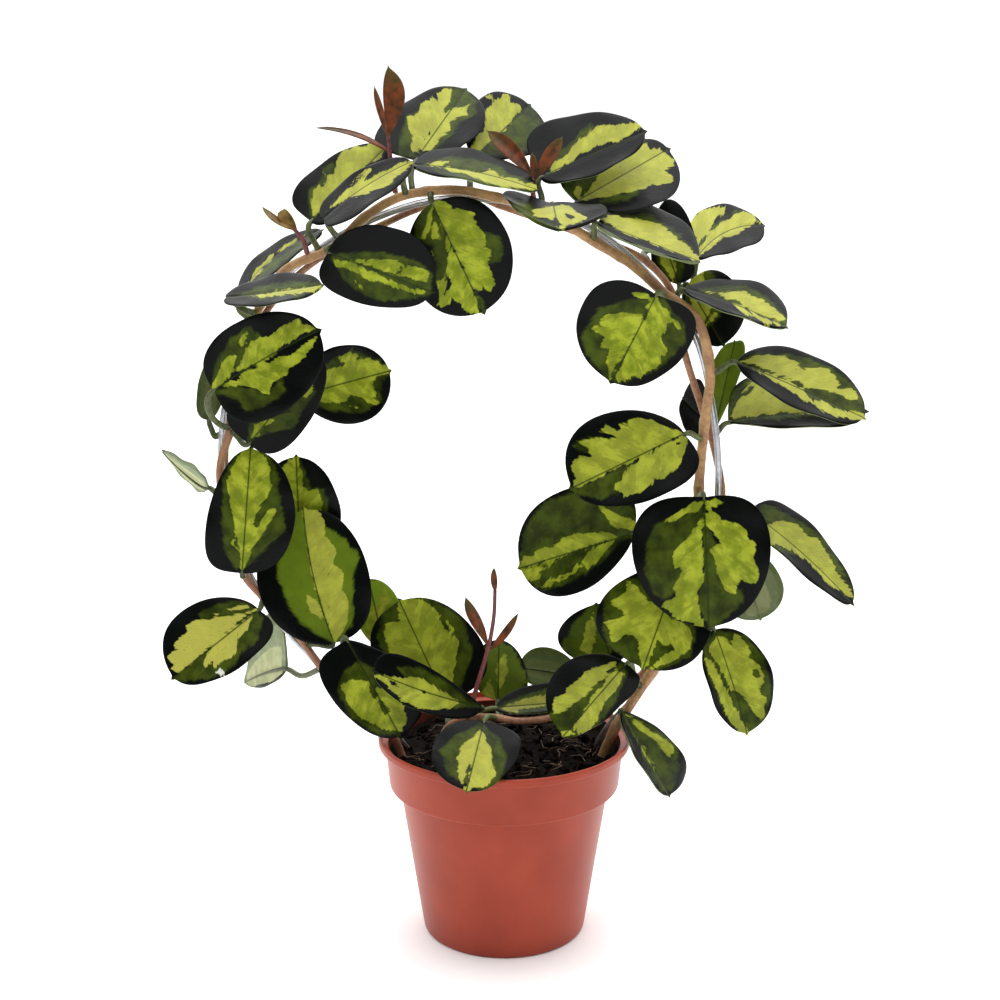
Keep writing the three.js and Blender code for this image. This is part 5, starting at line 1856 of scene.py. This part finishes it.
@dataclass
class Pot:
    """The nursery pot: a tapered body, a stepped collar and a thin lip, all in one moulding."""

    segments: int = 160
    rounding: float = 0.45
    rounding_steps: int = 3
    sharp: float = math.radians(24)
    # The foot ring: how far the base is raised inside it, and the ring's outer and inner edge.
    foot_rise: float = 0.8
    foot_inner: float = 4.5
    foot_outer: float = 3.5
    drain_sides: int = 32

    def profile(self) -> list[Pair]:
        """The wall's section from the axis under the base, up the outside and down the inside."""
        lip_bottom = POT_HEIGHT - LIP_HEIGHT
        return [
            (0, self.foot_rise), (BASE_RADIUS - self.foot_inner, self.foot_rise),
            (BASE_RADIUS - self.foot_outer, 0), (BASE_RADIUS - 1, 0), (BASE_RADIUS, WALL),
            (BODY_TOP_RADIUS, COLLAR_BOTTOM_HEIGHT - 0.6),
            (COLLAR_BOTTOM_RADIUS - 0.6, COLLAR_BOTTOM_HEIGHT - 0.4),
            (COLLAR_BOTTOM_RADIUS, COLLAR_BOTTOM_HEIGHT + 0.4),
            (COLLAR_TOP_RADIUS, lip_bottom - 0.4), (RIM_RADIUS - 0.5, lip_bottom),
            (RIM_RADIUS, lip_bottom + 0.6), (RIM_RADIUS, POT_HEIGHT - 0.6),
            (RIM_RADIUS - 0.6, POT_HEIGHT), (RIM_RADIUS - WALL, POT_HEIGHT),
            (RIM_RADIUS - WALL - 0.4, lip_bottom + 1.4), (COLLAR_TOP_RADIUS - WALL, lip_bottom + 0.6),
            (COLLAR_BOTTOM_RADIUS - WALL, COLLAR_BOTTOM_HEIGHT + WALL),
            (BODY_TOP_RADIUS - WALL - 0.1, COLLAR_BOTTOM_HEIGHT + 0.6),
            (BASE_RADIUS - WALL + 0.3, BASE_THICKNESS), (0, BASE_THICKNESS),
        ]

    def build(self, finishes: Finishes) -> None:
        """Turns the section, rounds its edges, drills the base and lets it stand for its node."""
        piece = Piece("nursery_pot")
        mesh = piece.mesh
        corners = [mesh.verts.new((radius * MM, 0, height * MM)) for radius, height in self.profile()]
        edges = [mesh.edges.new(pair) for pair in zip(corners, corners[1:])]
        bmesh.ops.spin(mesh, geom=[*corners, *edges], cent=(0, 0, 0), axis=(0, 0, 1), angle=FULL_TURN,
                       steps=self.segments, use_merge=True)
        bmesh.ops.remove_doubles(mesh, verts=mesh.verts, dist=WELD)
        bmesh.ops.recalc_face_normals(mesh, faces=mesh.faces)
        sharp = [edge for edge in mesh.edges if edge.is_manifold and edge.calc_face_angle(0.0) > self.sharp]
        bmesh.ops.bevel(mesh, geom=sharp, offset=self.rounding * MM, offset_type="OFFSET",
                        segments=self.rounding_steps, profile=0.5, affect="EDGES", material=-1,
                        clamp_overlap=True)
        # Painted shade: the inner wall between the base and the lip takes the dark second material.
        for face in mesh.faces:
            centre = face.calc_center_median()
            inward = face.normal.x * centre.x + face.normal.y * centre.y < 0
            painted_shade_band = BASE_THICKNESS * MM < centre.z < (POT_HEIGHT - LIP_HEIGHT) * MM
            face.material_index = int(inward and painted_shade_band)
        pot = piece.finish(Slot.POT, [finishes.plastic, finishes.shaded_inner_plastic], "pot")
        self.drill(pot)

    def drill(self, pot: bpy.types.Object) -> None:
        """Cuts the drain holes through the base with one boolean, then keeps only its result."""
        mesh = bmesh.new()
        for i in range(DRAIN_COUNT):
            turn = FULL_TURN * i / DRAIN_COUNT
            place = Matrix.Translation(Vector((math.cos(turn), math.sin(turn), 0)) * DRAIN_CIRCLE * MM)
            bmesh.ops.create_cone(mesh, cap_ends=True, segments=self.drain_sides, radius1=DRAIN_RADIUS * MM,
                                  radius2=DRAIN_RADIUS * MM, depth=4 * BASE_THICKNESS * MM, matrix=place)
        data = bpy.data.meshes.new("drills")
        mesh.to_mesh(data)
        mesh.free()
        drills = bpy.data.objects.new("drills", data)
        bpy.context.scene.collection.objects.link(drills)
        cutter = pot.modifiers.new("drain_holes", "BOOLEAN")
        cutter.operation = "DIFFERENCE"
        cutter.solver = "EXACT"
        cutter.object = drills
        drilled = bpy.data.meshes.new_from_object(pot.evaluated_get(bpy.context.evaluated_depsgraph_get()))
        pot.modifiers.remove(cutter)
        old, pot.data = pot.data, drilled
        bpy.data.meshes.remove(old)
        bpy.data.objects.remove(drills)
        bpy.data.meshes.remove(data)


@dataclass
class Soil:
    """The potting mix: a rough bed with loose bark crumbs and root fibres on it."""

    segments: int = 120
    top_rings: int = 46
    # The heights of the bed's side, from the base over the step under the collar.
    side_heights: tuple[float, ...] = (
        BASE_THICKNESS + CLEARANCE, 20, 40, 60, COLLAR_BOTTOM_HEIGHT - 1, COLLAR_BOTTOM_HEIGHT + 3, 84)
    crown_radius: float = 50.0
    # How far the bed stays off the wall below and above the step.
    gap_below: float = 0.5
    gap_above: float = 0.6
    # Height and size of the coarse and of the fine unevenness.
    coarse: Pair = (1.7, 9.0)
    fine: Pair = (1.0, 3.2)
    # The crumbs: how many, how far out, their least size and how much more it can be, and their shape as
    # shares of that size.
    crumbs: int = 520
    crumb_reach: float = 51.0
    crumb_size: Pair = (0.7, 2.6)
    crumb_length: float = 1.3
    crumb_width: Pair = (0.3, 0.6)
    crumb_thickness: Pair = (0.25, 0.4)
    crumb_lift: float = 0.2
    crumb_spin: float = 6.3
    crumb_dent: float = 0.45
    crumb_dent_size: float = 1.1
    # The fibres: how many, how far out, and how they wander, arch over the bed and vary.
    fibres: int = 58
    fibre_reach: float = 48.0
    fibre_limit: float = 52.0
    fibre_knots: int = 5
    fibre_step: float = 2.6
    fibre_samples: int = 14
    fibre_sides: int = 5
    fibre_turn: float = 0.6
    fibre_height: Pair = (0.6, 1.1)
    fibre_arch: float = 0.8
    fibre_radius: Pair = (0.13, 0.2)
    fibre_pattern: Pair = (30.0, 50.0)
    seed: int = 7

    def wall(self, height: float) -> float:
        """The bed's radius at a height, a little inside the pot's wall."""
        if height < COLLAR_BOTTOM_HEIGHT + WALL:
            share = (height - BASE_THICKNESS) / (COLLAR_BOTTOM_HEIGHT - BASE_THICKNESS)
            return BASE_RADIUS - WALL + share * (BODY_TOP_RADIUS - BASE_RADIUS) - self.gap_below
        share = (height - COLLAR_BOTTOM_HEIGHT) / (POT_HEIGHT - LIP_HEIGHT - COLLAR_BOTTOM_HEIGHT)
        flare = share * (COLLAR_TOP_RADIUS - COLLAR_BOTTOM_RADIUS)
        return COLLAR_BOTTOM_RADIUS - WALL + flare - self.gap_above

    def top(self, x: float, y: float) -> float:
        """The bed's height at a place, in millimetres."""
        crown = SOIL_CROWN * (1 - min(math.hypot(x, y) / self.crown_radius, 1) ** 2)
        rough = self.coarse[0] * noise.noise(Vector((x, y, 3.0)) / self.coarse[1])
        rough += self.fine[0] * noise.noise(Vector((x, y, 9.0)) / self.fine[1])
        return SOIL_HEIGHT + crown + rough

    def build(self, finishes: Finishes) -> None:
        """Builds the bed, which stands for its node, and what lies on it, always the same way."""
        turn = np.linspace(0, FULL_TURN, self.segments + 1)
        rings = [[(0.0, 0.0, self.side_heights[0])] * len(turn)]
        for height in self.side_heights:
            radius = self.wall(height)
            rings.append([(radius * math.cos(a), radius * math.sin(a), height) for a in turn])
        for radius in np.linspace(1, 0, self.top_rings) * self.wall(SOIL_HEIGHT):
            ring = [(radius * math.cos(a), radius * math.sin(a)) for a in turn]
            rings.append([(x, y, self.top(x, y)) for x, y in ring])
        bed = Piece("soil_bed")
        bed.skin(np.array(rings))
        bed.finish(Slot.SOIL, [finishes.peat], "soil")
        rng = np.random.default_rng(self.seed)
        self.strew_crumbs(finishes, rng)
        self.strew_fibres(finishes, rng)

    @staticmethod
    def spot(reach: float, rng: np.random.Generator) -> tuple[float, float, float]:
        """Draws a place within reach of the axis, and how far from the axis it is."""
        radius, turn = reach * math.sqrt(rng.random()), rng.random() * FULL_TURN
        return radius * math.cos(turn), radius * math.sin(turn), radius

    @staticmethod
    def drawn(span: Pair, rng: np.random.Generator) -> float:
        """Draws a value: the least one and a random part of what it can be more."""
        return span[0] + span[1] * rng.random()

    def strew_crumbs(self, finishes: Finishes, rng: np.random.Generator) -> None:
        """Strews flat, dented crumbs of bark."""
        crumbs = Piece("soil_crumbs")
        for _ in range(self.crumbs):
            x, y, _ = self.spot(self.crumb_reach, rng)
            size = self.crumb_size[0] + self.crumb_size[1] * rng.random() ** 3
            shape = Matrix.Diagonal((self.crumb_length, self.drawn(self.crumb_width, rng),
                                     self.drawn(self.crumb_thickness, rng), 1))
            spin = Matrix.Rotation(rng.random() * self.crumb_spin, 4, Vector(rng.normal(size=3)).normalized())
            place = Matrix.Translation(Vector((x, y, self.top(x, y) + self.crumb_lift * size)) * MM)
            bmesh.ops.create_icosphere(crumbs.mesh, subdivisions=1, radius=size * MM,
                                       matrix=place @ spin @ shape)
        for corner in crumbs.mesh.verts:
            dent = noise.noise_vector(corner.co / MM / self.crumb_dent_size)
            corner.co += dent * self.crumb_dent * MM
        crumbs.finish(Slot.SOIL, [finishes.chip], smooth=False)

    def strew_fibres(self, finishes: Finishes, rng: np.random.Generator) -> None:
        """Strews thin root fibres that wander over the bed."""
        fibres = Piece("soil_fibres")
        for _ in range(self.fibres):
            x, y, radius = self.spot(self.fibre_reach, rng)
            heading = rng.random() * FULL_TURN
            run = []
            for knot in range(self.fibre_knots):
                heading += rng.normal() * self.fibre_turn
                x += self.fibre_step * math.cos(heading)
                y += self.fibre_step * math.sin(heading)
                if math.hypot(x, y) > self.fibre_limit:
                    break
                low, high = self.fibre_height
                arch = low + high * math.sin(knot * self.fibre_arch) * rng.random()
                run.append(np.array([x, y, self.top(x, y) + arch]))
            if len(run) > 2:
                path = resampled(spline(run, 6), self.fibre_samples)
                thick = np.full(self.fibre_samples, self.drawn(self.fibre_radius, rng))
                span, shift = self.fibre_pattern
                along = np.linspace(0, span, self.fibre_samples) + shift * radius
                fibres.tube(path, thick, self.fibre_sides, layers={"along": along})
        fibres.finish(Slot.SOIL, [finishes.fibre])


@dataclass(frozen=True)
class Lamp:
    """A square soft lamp: its name, its place and side in metres, and its power in watts."""

    name: str
    place: Place
    size: float
    power: float

    def hang(self, aim: Place) -> None:
        """Hangs the lamp so that it shines at a place."""
        data = bpy.data.lights.new(self.name, "AREA")
        data.shape = "SQUARE"
        data.size = self.size
        data.energy = self.power
        lamp = bpy.data.objects.new(self.name, data)
        lamp.location = self.place
        lamp.rotation_euler = (Vector(aim) - Vector(self.place)).to_track_quat("-Z", "Y").to_euler()
        bpy.context.scene.collection.objects.link(lamp)


@dataclass
class Studio:
    """A white floor under an even white sky that is dimmer on the viewer's side, with a soft lamp overhead
    and a weak one in front."""

    floor_colour: str = "#ffffff"
    floor_size: float = 24.0
    lens: float = 65.016
    sensor: float = 36.0
    clip_end: float = 60.0
    aim: Place = (0.0, 0.0, 0.2)
    lamps: tuple[Lamp, ...] = (
        Lamp("overhead", (0.1, 0.2, 1.75), 1.4, 10.0),
        Lamp("front_fill", (-0.6, -1.4, 1.3), 0.9, 1.6),
    )
    # The sky's strength goes up with its height, and with how far it is behind the plant.
    sky_behind: float = 0.45
    sky: Ramp = Ramp(0.05, 1.0, 0.02, 2.35)
    backdrop: float = 1.1

    def camera(self) -> None:
        """Sets the camera where the reference view was taken from."""
        data = bpy.data.cameras.new("view")
        data.lens = self.lens
        data.sensor_width = self.sensor
        data.clip_end = self.clip_end
        camera = bpy.data.objects.new("view", data)
        camera.location = Vector(VIEW.eye) * MM
        camera.rotation_euler = (math.pi / 2 - VIEW.pitch, 0, 0)
        bpy.context.scene.collection.objects.link(camera)
        bpy.context.scene.camera = camera

    def floor(self) -> None:
        """Lays the floor."""
        mesh = bmesh.new()
        bmesh.ops.create_grid(mesh, x_segments=1, y_segments=1, size=self.floor_size / 2)
        data = bpy.data.meshes.new("studio_floor")
        mesh.to_mesh(data)
        mesh.free()
        floor = bpy.data.objects.new("studio_floor", data)
        bpy.context.scene.collection.objects.link(floor)
        material, _, _ = new_material("matt_white_studio_sheet", Roughness=0.9,
                                      Base_Color=linear(self.floor_colour))
        data.materials.append(material)

    def light(self) -> None:
        """Hangs the lamps and lights the sky, which the camera itself sees as plain white."""
        for lamp in self.lamps:
            lamp.hang(self.aim)
        world = bpy.data.worlds.new("white_sky")
        bpy.context.scene.world = world
        world.use_nodes = True
        tree = world.node_tree
        tree.nodes.clear()
        way = add_node(tree, "ShaderNodeTexCoord").outputs["Generated"]
        split = add_node(tree, "ShaderNodeSeparateXYZ", {0: way})
        height = add_node(tree, "ShaderNodeMath",
                          {0: split.outputs["Y"], 1: self.sky_behind, 2: split.outputs["Z"]},
                          operation="MULTIPLY_ADD").outputs[0]
        level = add_node(tree, "ShaderNodeMapRange", self.sky.of(height),
                         interpolation_type="SMOOTHSTEP").outputs[0]
        sky, plain = (add_node(tree, "ShaderNodeBackground", {"Color": (1, 1, 1, 1), "Strength": strength})
                      for strength in (level, self.backdrop))
        seen = add_node(tree, "ShaderNodeLightPath").outputs["Is Camera Ray"]
        mix = add_node(tree, "ShaderNodeMixShader", {0: seen, 1: sky.outputs[0], 2: plain.outputs[0]})
        add_node(tree, "ShaderNodeOutputWorld", {"Surface": mix.outputs[0]})

    def build(self) -> None:
        """Builds the studio."""
        self.camera()
        self.floor()
        self.light()
        bpy.context.scene.view_settings.view_transform = "Standard"


def main() -> None:
    """Builds the studio and every piece of the plant."""
    logging.basicConfig(level=logging.INFO, format="%(message)s")
    Studio().build()
    finishes = Finishes()
    Pot().build(finishes)
    Soil().build(finishes)
    Hoop().build(finishes)
    vine = Vine()
    vine.build(finishes)
    for shape in LEAVES:
        Leaf(shape, vine).build(finishes)
    for shape in SHOOTS:
        Shoot(shape, vine).build(finishes)
    LOG.info("The plant is built: %d leaves and %d young shoots", len(LEAVES), len(SHOOTS))


if __name__ == "__main__":
    main()
